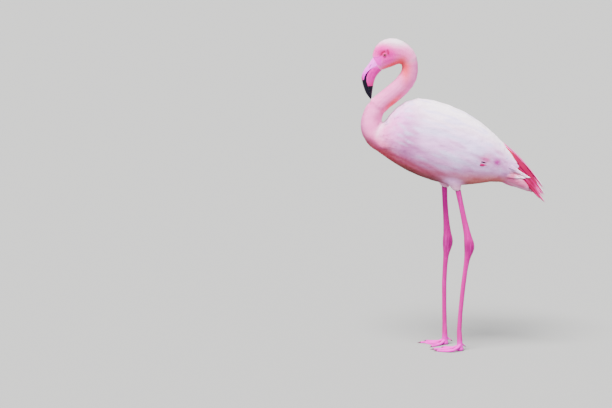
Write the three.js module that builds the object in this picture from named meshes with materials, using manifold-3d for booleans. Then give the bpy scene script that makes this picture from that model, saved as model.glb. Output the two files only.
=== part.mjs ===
// A greater flamingo standing on both feet at life size, its neck in a resting S and wings folded.
// Millimetres. The bill points to -X, the bird's left side faces -Y, and the soles are at Z = 0.
import * as THREE from "three";
import { mergeVertices } from "three/addons/utils/BufferGeometryUtils.js";
import Module from "manifold-3d";

const wasm = await Module();
wasm.setup();

// ---------- Driving sizes ----------
const GAP = 0.3; // parting gap between neighbouring pieces
const REACH = 140; // how far a cutting tool goes to each side, past the bird's flanks

// A section is an upper and a lower edge point, [x, z] or [x, z, y], and the half width between.
const HEAD_AND_NECK = [
  { upper: [-237, 892], lower: [-212, 847], half: 14.5 },
  { upper: [-228, 918], lower: [-203, 850], half: 19.5 },
  { upper: [-206, 938], lower: [-190, 855], half: 24.5 },
  { upper: [-173, 944], lower: [-175, 860], half: 26.5 },
  { upper: [-140, 932], lower: [-161, 866], half: 25.5 },
  { upper: [-112, 905], lower: [-151, 865], half: 24 },
  { upper: [-100, 867], lower: [-149, 853], half: 23 },
  { upper: [-104, 820], lower: [-156, 837], half: 23 },
  { upper: [-127, 784], lower: [-177, 814], half: 24 },
  { upper: [-161, 753], lower: [-211, 786], half: 26 },
  { upper: [-190, 730], lower: [-246, 756], half: 28 },
  { upper: [-205, 706], lower: [-266, 714], half: 32 },
  { upper: [-204, 676], lower: [-271, 682], half: 40 },
  { upper: [-175, 645], lower: [-263, 648], half: 50 },
  { upper: [-130, 640], lower: [-232, 612], half: 58 },
];
const NECK_PARTINGS = [0.385, 0.55, 0.72]; // shares of the way from the bill to the chest
const NECK_SHOWS_TO = 0.84; // the share at which the neck goes into the chest

const BODY = [
  { upper: [-261, 652], lower: [-261, 652], half: 0 },
  { upper: [-226, 676], lower: [-253, 630], half: 32 },
  { upper: [-201, 694], lower: [-232, 614], half: 46 },
  { upper: [-180, 720], lower: [-205, 594], half: 58 },
  { upper: [-147, 751], lower: [-172, 571], half: 70 },
  { upper: [-95, 766], lower: [-128, 545], half: 79 },
  { upper: [-32, 754], lower: [-75, 523], half: 85 },
  { upper: [38, 727], lower: [-13, 505], half: 85 },
  { upper: [104, 683], lower: [52, 503], half: 78 },
  { upper: [155, 634], lower: [108, 512], half: 61 },
  { upper: [188, 598], lower: [158, 512], half: 41 },
  { upper: [213, 570], lower: [200, 515], half: 21 },
  { upper: [241, 527], lower: [241, 527], half: 0 },
];
const CORE = { scale: 0.84, from: 0.07, to: 0.86 }; // what the wings lie on, inside the body
const TAIL = [
  { upper: [140, 545], lower: [140, 545], half: 0 },
  { upper: [165, 572], lower: [154, 510], half: 36 },
  { upper: [206, 545], lower: [194, 495], half: 36 },
  { upper: [232, 513], lower: [225, 485], half: 29 },
  { upper: [249, 480], lower: [249, 480], half: 0 },
];

// The folded wing's border in side view, [x, z], anticlockwise from the wrist.
const WING_BORDER = [
  [-188, 664], [-170, 615], [-125, 573], [-50, 549], [40, 549], [110, 562], [160, 564], [204, 556],
  [250, 520], [262, 560], [180, 660], [60, 780], [-10, 790], [-50, 757], [-105, 747], [-150, 728],
];
const PLUMES = [
  { upper: [148, 634, -14], lower: [150, 600, -34], half: 3 },
  { upper: [186, 608, -11], lower: [188, 566, -28], half: 5 },
  { upper: [219, 574, -9], lower: [209, 532, -25], half: 5.5 },
  { upper: [250, 533, -8], lower: [232, 502, -20], half: 5 },
  { upper: [272, 498, -8], lower: [259, 481, -14], half: 3.5 },
  { upper: [289, 452, -9], lower: [284, 450, -10], half: 1.2 },
];
const RIGHT_PLUMES_RISE = 18; // how much higher the right wing's plumes end

const BILL = [
  { upper: [-227, 898], lower: [-200, 852], half: 15 },
  { upper: [-234, 887], lower: [-209, 847], half: 14.5 },
  { upper: [-247, 867], lower: [-218, 838], half: 14 },
  { upper: [-262, 847], lower: [-225, 828], half: 13.5 },
  { upper: [-268, 830], lower: [-229, 818], half: 12.5 },
  { upper: [-266, 814], lower: [-232, 806], half: 11 },
  { upper: [-261, 796], lower: [-234, 793], half: 9 },
  { upper: [-254, 779], lower: [-236, 781], half: 7 },
  { upper: [-245, 767], lower: [-237, 770], half: 4.5 },
  { upper: [-240, 761], lower: [-238, 763], half: 1.5 },
];
// The line where the two halves of the bill meet, in side view, and a spot in each half.
const GAPE = [
  [-205, 870], [-220, 864], [-237, 855], [-249, 841], [-254, 824], [-250, 803], [-243, 783], [-238, 755],
];
const BILL_SPOTS = { upper: [-258, 850], lower: [-214, 843] };
const EYE = { radius: 6.6, x: -200, z: 896, y: 20 };

// A leg's girth by height, shared by both legs; each leg then has its own x at those heights.
const LEG_GIRTHS = [
  { z: 530, depth: 10, half: 9 },
  { z: 470, depth: 8.2, half: 7.2 },
  { z: 400, depth: 8.8, half: 7.4 },
  { z: 352, depth: 12, half: 9.5 },
  { z: 331, depth: 15.6, half: 12 },
  { z: 312, depth: 15, half: 12 },
  { z: 293, depth: 10.6, half: 9.6 },
  { z: 270, depth: 7.8, half: 6.8 },
  { z: 190, depth: 7, half: 6 },
  { z: 70, depth: 7, half: 6 },
  { z: 40, depth: 8.2, half: 7.4 },
  { z: 8, depth: 9.5, half: 8.5 },
];
const LEG_PARTINGS = [350, 291, 36]; // heights of the cuts above and below the hock, and at the foot
const THIGH_GIRTHS = [
  { z: 546, depth: 0, half: 0 },
  { z: 536, depth: 26, half: 19 },
  { z: 519, depth: 25, half: 18 },
  { z: 505, depth: 17, half: 13.5 },
  { z: 494, depth: 12, half: 10 },
  { z: 490, depth: 0, half: 0 },
];
const THIGH_SLANT = [-14, 6]; // how far the thigh's top and end stand behind the leg's own top
// Toe angles are from straight ahead, outwards positive. Bow is how far a toe curves outwards.
const LEGS = [
  {
    side: "left",
    outwards: -1,
    hipY: -33,
    footY: -28,
    xs: [12, 25.5, 41, 52, 56, 56.5, 52.5, 48.5, 39, 30, 31.5, 33],
    toes: [
      { name: "inner", angle: -37, length: 66, bow: -4 },
      { name: "middle", angle: -9, length: 88, bow: -3 },
      { name: "outer", angle: 3, length: 78, bow: 19 },
    ],
    hindAngle: 217,
  },
  {
    side: "right",
    outwards: 1,
    hipY: 33,
    footY: 54,
    xs: [-16, -14.5, -9.5, -5, -3, -3.5, -6, -8.5, -12, -9, -8, -7],
    toes: [
      { name: "inner", angle: -40, length: 63, bow: -3 },
      { name: "middle", angle: 11, length: 83, bow: 2 },
      { name: "outer", angle: 31, length: 72, bow: 3 },
    ],
    hindAngle: 174,
  },
];
// Sunk is how much of a toe's underside is flat on the floor. Arch lifts its root, and dies away
// along it by archFall. Knuckle is how much its joints swell.
const TOE = { half: 5.2, tipHalf: 3.1, sunk: 1, arch: 17, archFall: 6.5, knuckle: 0.1 };
const TOE_SHARES = [-0.1, -0.04, 0.08, 0.22, 0.36, 0.5, 0.64, 0.78, 0.9, 0.98, 1.08];
const CLAW = { from: 0.9, girth: 0.62, spot: 0.96 };
const HIND_TOE = { length: 24, height: 26, tipHeight: 9, half: 3.6, taper: 0.45, clawFrom: 0.78 };
const HIND_SHARES = [0, 0.2, 0.5, 0.8, 1.05];
const HEEL = { depth: 11, half: 9.5, height: 9, z: 6 };
const WEB = { thickness: 2.6, reach: 0.8, hollow: 0.74 };

// ---------- Materials ----------
const finish = (color, roughness) => new THREE.MeshStandardMaterial({ color, roughness, metalness: 0 });
const palePlumage = () => finish(0xf9dde4, 0.85);
const rosePlumage = () => finish(0xe83060, 0.7);
const billHorn = () => finish(0xe874b8, 0.4);
const legSkin = () => finish(0xe8409a, 0.5);
const eyeGloss = () => finish(0xe9dca8, 0.08);
const clawHorn = () => finish(0x4a2a30, 0.45);

// ---------- Shape tools ----------
const spotAt = ([x, z, y = 0]) => new THREE.Vector3(x, y, z);
const smoothThrough = (points) => new THREE.CatmullRomCurve3(points, false, "centripetal");

// The two edge lines of an outline and its girth, each read by a share of the way along.
function linesOf(outline) {
  const upper = smoothThrough(outline.map((section) => spotAt(section.upper)));
  const lower = smoothThrough(outline.map((section) => spotAt(section.lower)));
  const girth = smoothThrough(outline.map((section, i) => new THREE.Vector3(20 * i, section.half, 0)));
  const centreAt = (t) => upper.getPoint(t).add(lower.getPoint(t)).multiplyScalar(0.5);
  return {
    centreAt,
    upAt: (t) => upper.getPoint(t).sub(lower.getPoint(t)).multiplyScalar(0.5),
    halfAt: (t) => Math.max(girth.getPoint(t).y, 0),
    headingAt: (t) => centreAt(Math.min(t + 0.004, 1)).sub(centreAt(Math.max(t - 0.004, 0))).normalize(),
  };
}

// Bends a sphere along an outline that starts and ends in a point, or else a capped cylinder.
// Scale shrinks its girth and grow swells it all round by a length.
function loft(outline, options) {
  const { sides, rows, pointed = false, from = 0, to = 1, scale = 1, grow = 0 } = options;
  const lines = linesOf(outline);
  const form = pointed
    ? new THREE.SphereGeometry(1, sides, rows)
    : new THREE.CylinderGeometry(1, 1, 2, sides, rows);
  const spots = form.attributes.position;
  for (let i = 0; i < spots.count; i++) {
    const height = THREE.MathUtils.clamp(spots.getY(i), -1, 1);
    const share = pointed ? Math.acos(height) / Math.PI : (1 - height) / 2;
    const t = from + (to - from) * share;
    const rim = pointed ? Number(Math.abs(height) < 1) : Math.hypot(spots.getX(i), spots.getZ(i));
    const angle = Math.atan2(spots.getZ(i), spots.getX(i));
    const heading = lines.headingAt(t);
    const up = lines.upAt(t).multiplyScalar(scale);
    const wide = new THREE.Vector3().crossVectors(heading, up).normalize();
    const half = (lines.halfAt(t) * scale + grow) * rim * Math.sin(angle);
    const tall = (up.length() + grow) * rim * Math.cos(angle);
    const spot = lines.centreAt(t).addScaledVector(heading, -height * grow);
    spot.addScaledVector(up.normalize(), tall).addScaledVector(wide, half);
    spots.setXYZ(i, spot.x, spot.y, spot.z);
  }
  return form;
}

function solidOf(geometry) {
  const bare = geometry.clone();
  bare.deleteAttribute("normal");
  bare.deleteAttribute("uv");
  const merged = mergeVertices(bare, 1e-3);
  const vertProperties = new Float32Array(merged.attributes.position.array);
  const triVerts = new Uint32Array(merged.index.array);
  return new wasm.Manifold(new wasm.Mesh({ numProp: 3, vertProperties, triVerts }));
}

function geometryOf(solid) {
  const mesh = solid.getMesh();
  const geometry = new THREE.BufferGeometry();
  geometry.setAttribute("position", new THREE.BufferAttribute(mesh.vertProperties.slice(), 3));
  geometry.setIndex(new THREE.BufferAttribute(mesh.triVerts.slice(), 1));
  return geometry;
}

const joined = (...solids) => solids.reduce((whole, next) => whole.add(next));
const without = (solid, ...others) => others.reduce((left, next) => left.subtract(next), solid);
const largest = (solid) => solid.decompose().reduce((a, b) => (b.volume() > a.volume() ? b : a));

// The piece of a parted solid at a point: the smallest whose box holds it, or else the nearest.
function pieceAt(pieces, point) {
  const ranked = pieces.map((piece) => {
    const { min, max } = piece.boundingBox();
    const box = new THREE.Box3(new THREE.Vector3(...min), new THREE.Vector3(...max));
    return { piece, away: box.distanceToPoint(point), volume: piece.volume() };
  });
  ranked.sort((a, b) => a.away - b.away || a.volume - b.volume);
  return ranked[0].piece;
}

// A thin cut square across an outline.
function cutAcross(outline, t, width) {
  const { centreAt, headingAt, upAt } = linesOf(outline);
  const heading = headingAt(t);
  const wide = new THREE.Vector3().crossVectors(heading, upAt(t)).normalize();
  const up = new THREE.Vector3().crossVectors(wide, heading);
  const turn = new THREE.Matrix4().makeBasis(heading, up, wide).setPosition(centreAt(t));
  return solidOf(new THREE.BoxGeometry(GAP, width, width).applyMatrix4(turn));
}

const levelCut = (z) => solidOf(new THREE.BoxGeometry(4 * REACH, 4 * REACH, GAP).translate(0, 0, z));

// A flat [x, z] border pushed through the bird sideways, from y = near to y = far.
function throughBird(border, near, far) {
  const shape = new THREE.Shape(border.map(([x, z]) => new THREE.Vector2(x, z)));
  const block = new THREE.ExtrudeGeometry(shape, { depth: far - near, bevelEnabled: false });
  return solidOf(block.rotateX(Math.PI / 2).translate(0, far, 0));
}

// A smooth closed border through the given points, swelled outwards.
function smoothBorder(points, grow) {
  const steps = 34;
  const line = new THREE.CatmullRomCurve3(points.map(spotAt), true, "centripetal");
  return Array.from({ length: steps }, (_, i) => {
    const spot = line.getPoint(i / steps);
    const heading = line.getTangent(i / steps);
    return [spot.x + heading.z * grow, spot.z - heading.x * grow];
  });
}

// A smooth line given a thickness, as a border.
function smoothStrip(points, thickness) {
  const steps = 13;
  const line = smoothThrough(points.map(spotAt));
  const edge = (offset) =>
    Array.from({ length: steps + 1 }, (_, i) => {
      const spot = line.getPoint(i / steps);
      const heading = line.getTangent(i / steps);
      return [spot.x + heading.z * offset, spot.z - heading.x * offset];
    });
  return [...edge(-thickness / 2).reverse(), ...edge(thickness / 2)];
}

const flamingo = new THREE.Group();

function add(name, solid, look) {
  const mesh = new THREE.Mesh(geometryOf(largest(solid)), look);
  mesh.name = name;
  flamingo.add(mesh);
}

// ---------- Trunk and wings ----------
const bodyForm = (grow = 0) => solidOf(loft(BODY, { sides: 22, rows: 17, pointed: true, grow }));
const coreForm = (grow = 0) => solidOf(loft(BODY, { sides: 14, rows: 8, ...CORE, grow }));
const tailForm = (grow = 0) => solidOf(loft(TAIL, { sides: 12, rows: 8, pointed: true, grow }));
const SIDES = [
  { side: "left", near: -REACH, far: -GAP / 2, outwards: -1 },
  { side: "right", near: GAP / 2, far: REACH, outwards: 1 },
];

function thighForm(leg, grow = 0) {
  const [top, end] = [THIGH_GIRTHS[0].z, THIGH_GIRTHS.at(-1).z];
  const outline = THIGH_GIRTHS.map(({ z, depth, half }) => {
    const x = leg.xs[0] + THREE.MathUtils.mapLinear(z, top, end, ...THIGH_SLANT);
    return { upper: [x - depth, z, leg.hipY], lower: [x + depth, z, leg.hipY], half };
  });
  return solidOf(loft(outline, { sides: 12, rows: 9, pointed: true, grow }));
}

function addTrunkAndWings() {
  const border = smoothBorder(WING_BORDER, 0);
  const beyondBorder = smoothBorder(WING_BORDER, GAP);
  const body = bodyForm();
  for (const { side, near, far } of SIDES) {
    const wing = body.intersect(throughBird(border, near, far));
    add(`wing_${side}`, without(wing, coreForm(GAP)), palePlumage());
  }
  const bare = without(body, throughBird(beyondBorder, -REACH, REACH));
  const thighs = LEGS.map((leg) => thighForm(leg, GAP));
  add("trunk", without(joined(bare, coreForm()), ...thighs), palePlumage());
  for (const leg of LEGS) {
    add(`thigh_${leg.side}`, thighForm(leg), palePlumage());
  }
}

// ---------- Tail and plumes ----------
function plumeForm(outwards, grow = 0) {
  const rise = outwards > 0 ? RIGHT_PLUMES_RISE : 0;
  const last = PLUMES.length - 1;
  const place = ([x, z, y], i) => [x, z + (rise * i) / last, -outwards * y];
  const outline = PLUMES.map(({ upper, lower, half }, i) => {
    return { upper: place(upper, i), lower: place(lower, i), half };
  });
  return solidOf(loft(outline, { sides: 8, rows: 8, grow }));
}

function addTailAndPlumes() {
  const tail = without(tailForm(), bodyForm(GAP));
  add("tail", tail, palePlumage());
  for (const { side, outwards } of SIDES) {
    const plumes = without(plumeForm(outwards), bodyForm(GAP), tailForm(GAP));
    add(`plumes_${side}`, plumes, rosePlumage());
  }
}

// ---------- Head, bill and neck ----------
const headForm = (grow = 0) => solidOf(loft(HEAD_AND_NECK, { sides: 16, rows: 26, grow }));

function addHeadAndNeck() {
  const eyes = SIDES.map(({ side, outwards }) => {
    const ball = (grow) => {
      const sphere = new THREE.SphereGeometry(EYE.radius + grow, 10, 7);
      return solidOf(sphere.translate(EYE.x, outwards * EYE.y, EYE.z));
    };
    add(`eye_${side}`, ball(0), eyeGloss());
    return ball(GAP);
  });
  const cuts = NECK_PARTINGS.map((t) => cutAcross(HEAD_AND_NECK, t, REACH));
  const pieces = without(headForm(), ...cuts, ...eyes, bodyForm(GAP)).decompose();
  const { centreAt } = linesOf(HEAD_AND_NECK);
  const bounds = [0, ...NECK_PARTINGS, NECK_SHOWS_TO];
  ["head", "neck_upper", "neck_middle", "neck_lower"].forEach((name, i) => {
    const middle = centreAt((bounds[i] + bounds[i + 1]) / 2);
    add(name, pieceAt(pieces, middle), palePlumage());
  });
}

function addBill() {
  const whole = without(solidOf(loft(BILL, { sides: 12, rows: 13 })), headForm(GAP));
  const gape = throughBird(smoothStrip(GAPE, GAP), -REACH, REACH);
  const halves = without(whole, gape).decompose();
  add("bill_upper", pieceAt(halves, spotAt(BILL_SPOTS.upper)), billHorn());
  add("bill_lower", pieceAt(halves, spotAt(BILL_SPOTS.lower)), billHorn());
}

// ---------- Legs and feet ----------
// Where a toe's middle line stands on the floor, a share of the way from the ankle to its tip.
function toeSpot(leg, { angle, length, bow = 0 }, share) {
  const turn = THREE.MathUtils.degToRad(angle);
  const aside = bow * Math.sin(Math.PI * share ** 0.7);
  const ahead = length * share;
  const x = leg.xs.at(-1) - ahead * Math.cos(turn) + aside * Math.sin(turn);
  const y = leg.footY + leg.outwards * (ahead * Math.sin(turn) + aside * Math.cos(turn));
  return new THREE.Vector2(x, y);
}

function toeOutline(leg, toe) {
  return TOE_SHARES.map((share, i, all) => {
    const { x, y } = toeSpot(leg, toe, Math.max(share, 0.001));
    const atEnd = i === 0 || i === all.length - 1;
    const knuckles = 1 + TOE.knuckle * Math.cos(7 * Math.PI * share);
    const horn = share > CLAW.from ? CLAW.girth : 1;
    const half = atEnd ? 0 : THREE.MathUtils.lerp(TOE.half, TOE.tipHalf, share) * knuckles * horn;
    const level = half - TOE.sunk + TOE.arch * Math.exp(-TOE.archFall * Math.max(share, 0));
    const back = share < 0 ? -share * toe.length : 0;
    return { upper: [x + back, level + half, y], lower: [x + back, level - half, y], half };
  });
}

// The small hind toe leaves the tarsus above the ground and slopes down behind it.
function hindOutline(leg, toe) {
  return HIND_SHARES.map((share, i, all) => {
    const { x, y } = toeSpot(leg, toe, share);
    const atEnd = i === 0 || i === all.length - 1;
    const half = atEnd ? 0 : HIND_TOE.half * (1 - HIND_TOE.taper * share);
    const level = THREE.MathUtils.lerp(HIND_TOE.height, HIND_TOE.tipHeight, share);
    return { upper: [x, level + half, y], lower: [x, level - half, y], half };
  });
}

// The web between two toes, with a hollow free edge.
function webForm(leg, first, second) {
  const ankle = toeSpot(leg, first, 0);
  const [start, end] = [first, second].map((toe) => toeSpot(leg, toe, WEB.reach));
  const between = start.clone().add(end).multiplyScalar(0.5);
  const hollow = ankle.clone().lerp(between, WEB.hollow);
  const shape = new THREE.Shape([ankle, start]);
  shape.quadraticCurveTo(hollow.x, hollow.y, end.x, end.y);
  const web = new THREE.ExtrudeGeometry(shape, {
    depth: WEB.thickness,
    bevelEnabled: false,
    curveSegments: 6,
  });
  return solidOf(web);
}

function clawCut(leg, toe, share) {
  const [before, after] = [share - 0.02, share + 0.02].map((at) => toeSpot(leg, toe, at));
  const heading = after.clone().sub(before).angle();
  const { x, y } = toeSpot(leg, toe, share);
  const cut = new THREE.BoxGeometry(GAP, 16, 50);
  return solidOf(cut.rotateZ(heading).translate(x, y, 0));
}

function addLeg(leg) {
  const middleLine = LEG_GIRTHS.map(({ z }, i) => {
    const y = THREE.MathUtils.mapLinear(z, LEG_GIRTHS[0].z, 0, leg.hipY, leg.footY);
    return { x: leg.xs[i], y, z };
  });
  const outline = LEG_GIRTHS.map(({ z, depth, half }, i) => {
    const { x, y } = middleLine[i];
    return { upper: [x - depth, z, y], lower: [x + depth, z, y], half };
  });
  const shaft = solidOf(loft(outline, { sides: 10, rows: 18 }));
  const hindToe = { name: "hind", angle: leg.hindAngle, length: HIND_TOE.length };
  const digits = [...leg.toes, hindToe].map((toe) => {
    const outline = toe === hindToe ? hindOutline(leg, toe) : toeOutline(leg, toe);
    const form = solidOf(loft(outline, { sides: 8, rows: 9, pointed: true }));
    const cut = clawCut(leg, toe, toe === hindToe ? HIND_TOE.clawFrom : CLAW.from);
    const tip = toeSpot(leg, toe, CLAW.spot);
    const height = toe === hindToe ? HIND_TOE.tipHeight : TOE.sunk;
    return { name: toe.name, form, cut, claw: new THREE.Vector3(tip.x, tip.y, height) };
  });
  const webs = [0, 1].map((i) => webForm(leg, leg.toes[i], leg.toes[i + 1]));
  const heel = new THREE.SphereGeometry(1, 10, 6).scale(HEEL.depth, HEEL.half, HEEL.height);
  heel.translate(leg.xs.at(-1), leg.footY, HEEL.z);
  const underFloor = solidOf(new THREE.BoxGeometry(4 * REACH, 4 * REACH, REACH).translate(0, 0, -REACH / 2));
  const whole = joined(shaft, solidOf(heel), ...digits.map((digit) => digit.form), ...webs);
  const cuts = [...LEG_PARTINGS.map(levelCut), ...digits.map((digit) => digit.cut)];
  const pieces = without(whole, ...cuts, underFloor, thighForm(leg, GAP), bodyForm(GAP)).decompose();
  const levels = [LEG_GIRTHS[0].z, ...LEG_PARTINGS, 0];
  ["shank", "hock", "tarsus", "foot"].forEach((name, i) => {
    const z = (levels[i] + levels[i + 1]) / 2;
    const { x, y } = middleLine.reduce((a, b) => (Math.abs(b.z - z) < Math.abs(a.z - z) ? b : a));
    add(`${name}_${leg.side}`, pieceAt(pieces, new THREE.Vector3(x, y, z)), legSkin());
  });
  for (const { name, claw } of digits) {
    add(`claw_${name}_${leg.side}`, pieceAt(pieces, claw), clawHorn());
  }
}

addTrunkAndWings();
addTailAndPlumes();
addHeadAndNeck();
addBill();
LEGS.forEach(addLeg);

// The origin is on the floor, under the middle of the bird's box.
const box = new THREE.Box3().setFromObject(flamingo);
const middle = box.getCenter(new THREE.Vector3());
flamingo.position.set(-middle.x, -middle.y, -box.min.z);

export default flamingo;
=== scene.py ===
# A greater flamingo in pale plumage, standing: feathers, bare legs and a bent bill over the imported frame.
# Row frame, metres: the bill points to -X, the bird's left side faces -Y, and the floor is at Z = 0.
import heapq
import math
import bmesh
import bpy
import numpy as np
from mathutils import Matrix, Vector, noise
from mathutils.bvhtree import BVHTree
from mathutils.kdtree import KDTree


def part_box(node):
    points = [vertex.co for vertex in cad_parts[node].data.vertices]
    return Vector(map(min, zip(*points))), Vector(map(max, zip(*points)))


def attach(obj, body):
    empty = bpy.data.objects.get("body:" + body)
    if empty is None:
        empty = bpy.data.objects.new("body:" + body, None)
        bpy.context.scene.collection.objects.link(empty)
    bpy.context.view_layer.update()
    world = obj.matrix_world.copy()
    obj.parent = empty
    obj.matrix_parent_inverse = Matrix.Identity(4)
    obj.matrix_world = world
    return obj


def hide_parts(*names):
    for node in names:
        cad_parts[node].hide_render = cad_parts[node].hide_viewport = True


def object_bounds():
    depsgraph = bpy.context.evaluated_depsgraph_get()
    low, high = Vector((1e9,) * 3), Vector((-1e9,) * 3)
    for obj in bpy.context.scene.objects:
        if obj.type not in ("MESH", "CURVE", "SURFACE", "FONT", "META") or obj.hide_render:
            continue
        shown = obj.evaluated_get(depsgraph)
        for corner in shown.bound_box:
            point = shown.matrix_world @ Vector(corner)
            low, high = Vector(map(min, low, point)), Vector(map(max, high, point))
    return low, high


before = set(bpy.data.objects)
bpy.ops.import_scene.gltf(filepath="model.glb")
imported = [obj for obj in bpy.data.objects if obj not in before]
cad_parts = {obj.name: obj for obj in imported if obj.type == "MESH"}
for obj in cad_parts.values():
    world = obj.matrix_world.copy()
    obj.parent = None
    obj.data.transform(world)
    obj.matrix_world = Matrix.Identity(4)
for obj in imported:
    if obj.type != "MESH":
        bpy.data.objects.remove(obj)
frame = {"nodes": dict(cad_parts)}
cad_low, cad_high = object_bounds()


# ---------- Camera ----------
# A long lens a little above the bird's back, looking slightly down at its left side.
LENS_MM, SENSOR_MM = 119.47, 36
CAMERA_TILT = math.radians(80)
CAMERA_PAST_BILL, CAMERA_AWAY, CAMERA_ABOVE_CROWN = 0.1615, 5.9155, 0.5597


def placed(name, data):
    """A new object of that name, in the scene."""
    made = bpy.data.objects.new(name, data)
    bpy.context.scene.collection.objects.link(made)
    return made


camera_data = bpy.data.cameras.new("camera")
camera_data.lens = LENS_MM
camera_data.sensor_width = SENSOR_MM
camera_data.clip_end = 100
camera = placed("camera", camera_data)
camera.location = (cad_low.x - CAMERA_PAST_BILL, cad_low.y - CAMERA_AWAY, cad_high.z + CAMERA_ABOVE_CROWN)
camera.rotation_euler = (CAMERA_TILT, 0, 0)
bpy.context.scene.camera = camera


# ---------- Floor ----------
# A plain pale floor, wide enough to fill the view behind the bird.
FLOOR_HALF = 40
floor_mesh = bpy.data.meshes.new("floor")
floor_corners = [(-1, -1), (1, -1), (1, 1), (-1, 1)]
floor_mesh.from_pydata([(x * FLOOR_HALF, y * FLOOR_HALF, 0) for x, y in floor_corners], [], [(0, 1, 2, 3)])
floor_material = bpy.data.materials.new("pale_floor")
floor_material.use_nodes = True
floor_shader = floor_material.node_tree.nodes["Principled BSDF"]
floor_shader.inputs["Base Color"].default_value = (0.235, 0.235, 0.232, 1)
floor_shader.inputs["Roughness"].default_value = 0.9
floor_mesh.materials.append(floor_material)
floor = placed("floor", floor_mesh)


# ---------- Light ----------
# Soft daylight: an even sky, a large soft key from above the left front, and a weak fill.
world = bpy.data.worlds.new("studio")
world.use_nodes = True
world.node_tree.nodes["Background"].inputs["Color"].default_value = (0.94, 0.97, 1.0, 1)
world.node_tree.nodes["Background"].inputs["Strength"].default_value = 1.15
bpy.context.scene.world = world


def add_sun(name, aim, strength, spread, color):
    """A light from afar along an aim, as soft as its spread in degrees."""
    data = bpy.data.lights.new(name, "SUN")
    data.energy = strength
    data.angle = math.radians(spread)
    data.color = color
    light = placed(name, data)
    light.rotation_mode = "QUATERNION"
    light.rotation_quaternion = Vector(aim).to_track_quat("-Z", "Y")


add_sun("key", (0.26, 0.42, -1.0), 14.0, 30, (1.0, 0.985, 0.965))
add_sun("fill", (-0.4, 0.8, -0.30), 0.9, 60, (0.92, 0.96, 1.0))


# ---------- Skin ----------
# One closed skin under the coat, from merged copies of the frame's solids: fused, smoothed, and let in
# by the coat's depth. The bill, eyes and claws go into it too, so it runs on inside those pieces.
LEG_NODES = ["shank", "hock", "tarsus", "foot", "claw_inner", "claw_middle", "claw_outer", "claw_hind"]
HEAD_NODES = ["head", "neck_upper", "neck_middle", "bill_upper", "bill_lower", "eye_left", "eye_right"]
BODY_NODES = ["neck_middle", "neck_lower", "trunk", "wing_left", "wing_right"]
BODY_NODES += ["tail", "thigh_left", "thigh_right"]
COAT_DEPTH = {
    "head": 0.0009, "bill": 0.0022, "eye": 0.0026, "neck_upper": 0.0016, "neck_middle": 0.0020,
    "neck_lower": 0.0028, "trunk": 0.0040, "wing": 0.0044, "tail": 0.0040, "thigh": 0.0030, "claw": 0.0011,
}


def plain_mesh(name, points, faces):
    """A mesh object from arrays, with smooth shading, in the scene."""
    mesh = bpy.data.meshes.new(name)
    mesh.from_pydata(points, [], faces)
    mesh.shade_smooth()
    return placed(name, mesh)


def mesh_as_seen(made):
    """A plain mesh of the object with its modifiers carried out."""
    return bpy.data.meshes.new_from_object(made.evaluated_get(bpy.context.evaluated_depsgraph_get()))


def face_outwards(mesh):
    shell = bmesh.new()
    shell.from_mesh(mesh)
    bmesh.ops.recalc_face_normals(shell, faces=shell.faces)
    shell.to_mesh(mesh)
    shell.free()


def numbers(items, field, width, kind=float):
    """One field of each item of a mesh, a row for each item."""
    values = np.empty(len(items) * width, kind)
    items.foreach_get(field, values)
    return values.reshape(-1, width)


def points_of(mesh):
    return numbers(mesh.vertices, "co", 3)


def normals_of(mesh):
    return numbers(mesh.vertices, "normal", 3)


def edges_of(mesh):
    return numbers(mesh.edges, "vertices", 2, int)


def move_points(mesh, spots):
    mesh.vertices.foreach_set("co", spots.ravel())
    mesh.update()


def around(values, edges):
    """The mean of each vertex's neighbours."""
    count = len(values)
    flat = values.reshape(count, -1)
    share = np.bincount(edges.ravel(), minlength=count)
    total = np.empty_like(flat)
    for i in range(flat.shape[1]):
        total[:, i] = np.bincount(edges[:, 0], flat[edges[:, 1], i], count)
        total[:, i] += np.bincount(edges[:, 1], flat[edges[:, 0], i], count)
    return (total / np.maximum(share, 1)[:, None]).reshape(values.shape)


def relaxed(mesh, rounds):
    """Irons facets out and keeps the form: one step in, then one slightly longer step out."""
    edges = edges_of(mesh)
    spots = points_of(mesh)
    for _ in range(rounds):
        spots = spots + 0.5 * (around(spots, edges) - spots)
        spots = spots - 0.53 * (around(spots, edges) - spots)
    move_points(mesh, spots)


def evened(values, edges, rounds):
    """Values blurred over the mesh, a little more with each round."""
    for _ in range(rounds):
        values = 0.5 * (values + around(values, edges))
    return values


def fused(name, nodes, voxel, rounds, swell=0.0002):
    """One body from several of the frame's solids, each swelled a little so that the gaps close."""
    shell = bmesh.new()
    for node in nodes:
        shell.from_mesh(frame["nodes"][node].data)
    bmesh.ops.remove_doubles(shell, verts=shell.verts, dist=1e-5)
    bmesh.ops.recalc_face_normals(shell, faces=shell.faces)
    for vert in shell.verts:
        vert.co += vert.normal * swell
    mesh = bpy.data.meshes.new(name)
    shell.to_mesh(mesh)
    shell.free()
    made = placed(name, mesh)
    remesh = made.modifiers.new("remesh", "REMESH")
    remesh.mode = "VOXEL"
    remesh.voxel_size = voxel
    made.data = mesh_as_seen(made)
    made.modifiers.clear()
    relaxed(made.data, rounds)
    made.data.shade_smooth()
    return made


def tree_of(nodes):
    """A tree of every face of these nodes of the frame, and the node that each face belongs to."""
    spots, faces, owners = [], [], []
    for name in nodes:
        mesh = frame["nodes"][name].data
        start = len(spots)
        spots += [v.co.copy() for v in mesh.vertices]
        faces += [[start + i for i in face.vertices] for face in mesh.polygons]
        owners += [name] * len(mesh.polygons)
    return BVHTree.FromPolygons(spots, faces), owners


solid_tree, face_owner = tree_of(frame["nodes"])
OWNER_NAMES = sorted(set(face_owner))
owner_code = np.array([OWNER_NAMES.index(name) for name in face_owner])


def owners_at(spots):
    """The node nearest to each point, as its place in OWNER_NAMES."""
    return np.array([owner_code[solid_tree.find_nearest(Vector(spot))[2]] for spot in spots])


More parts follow.
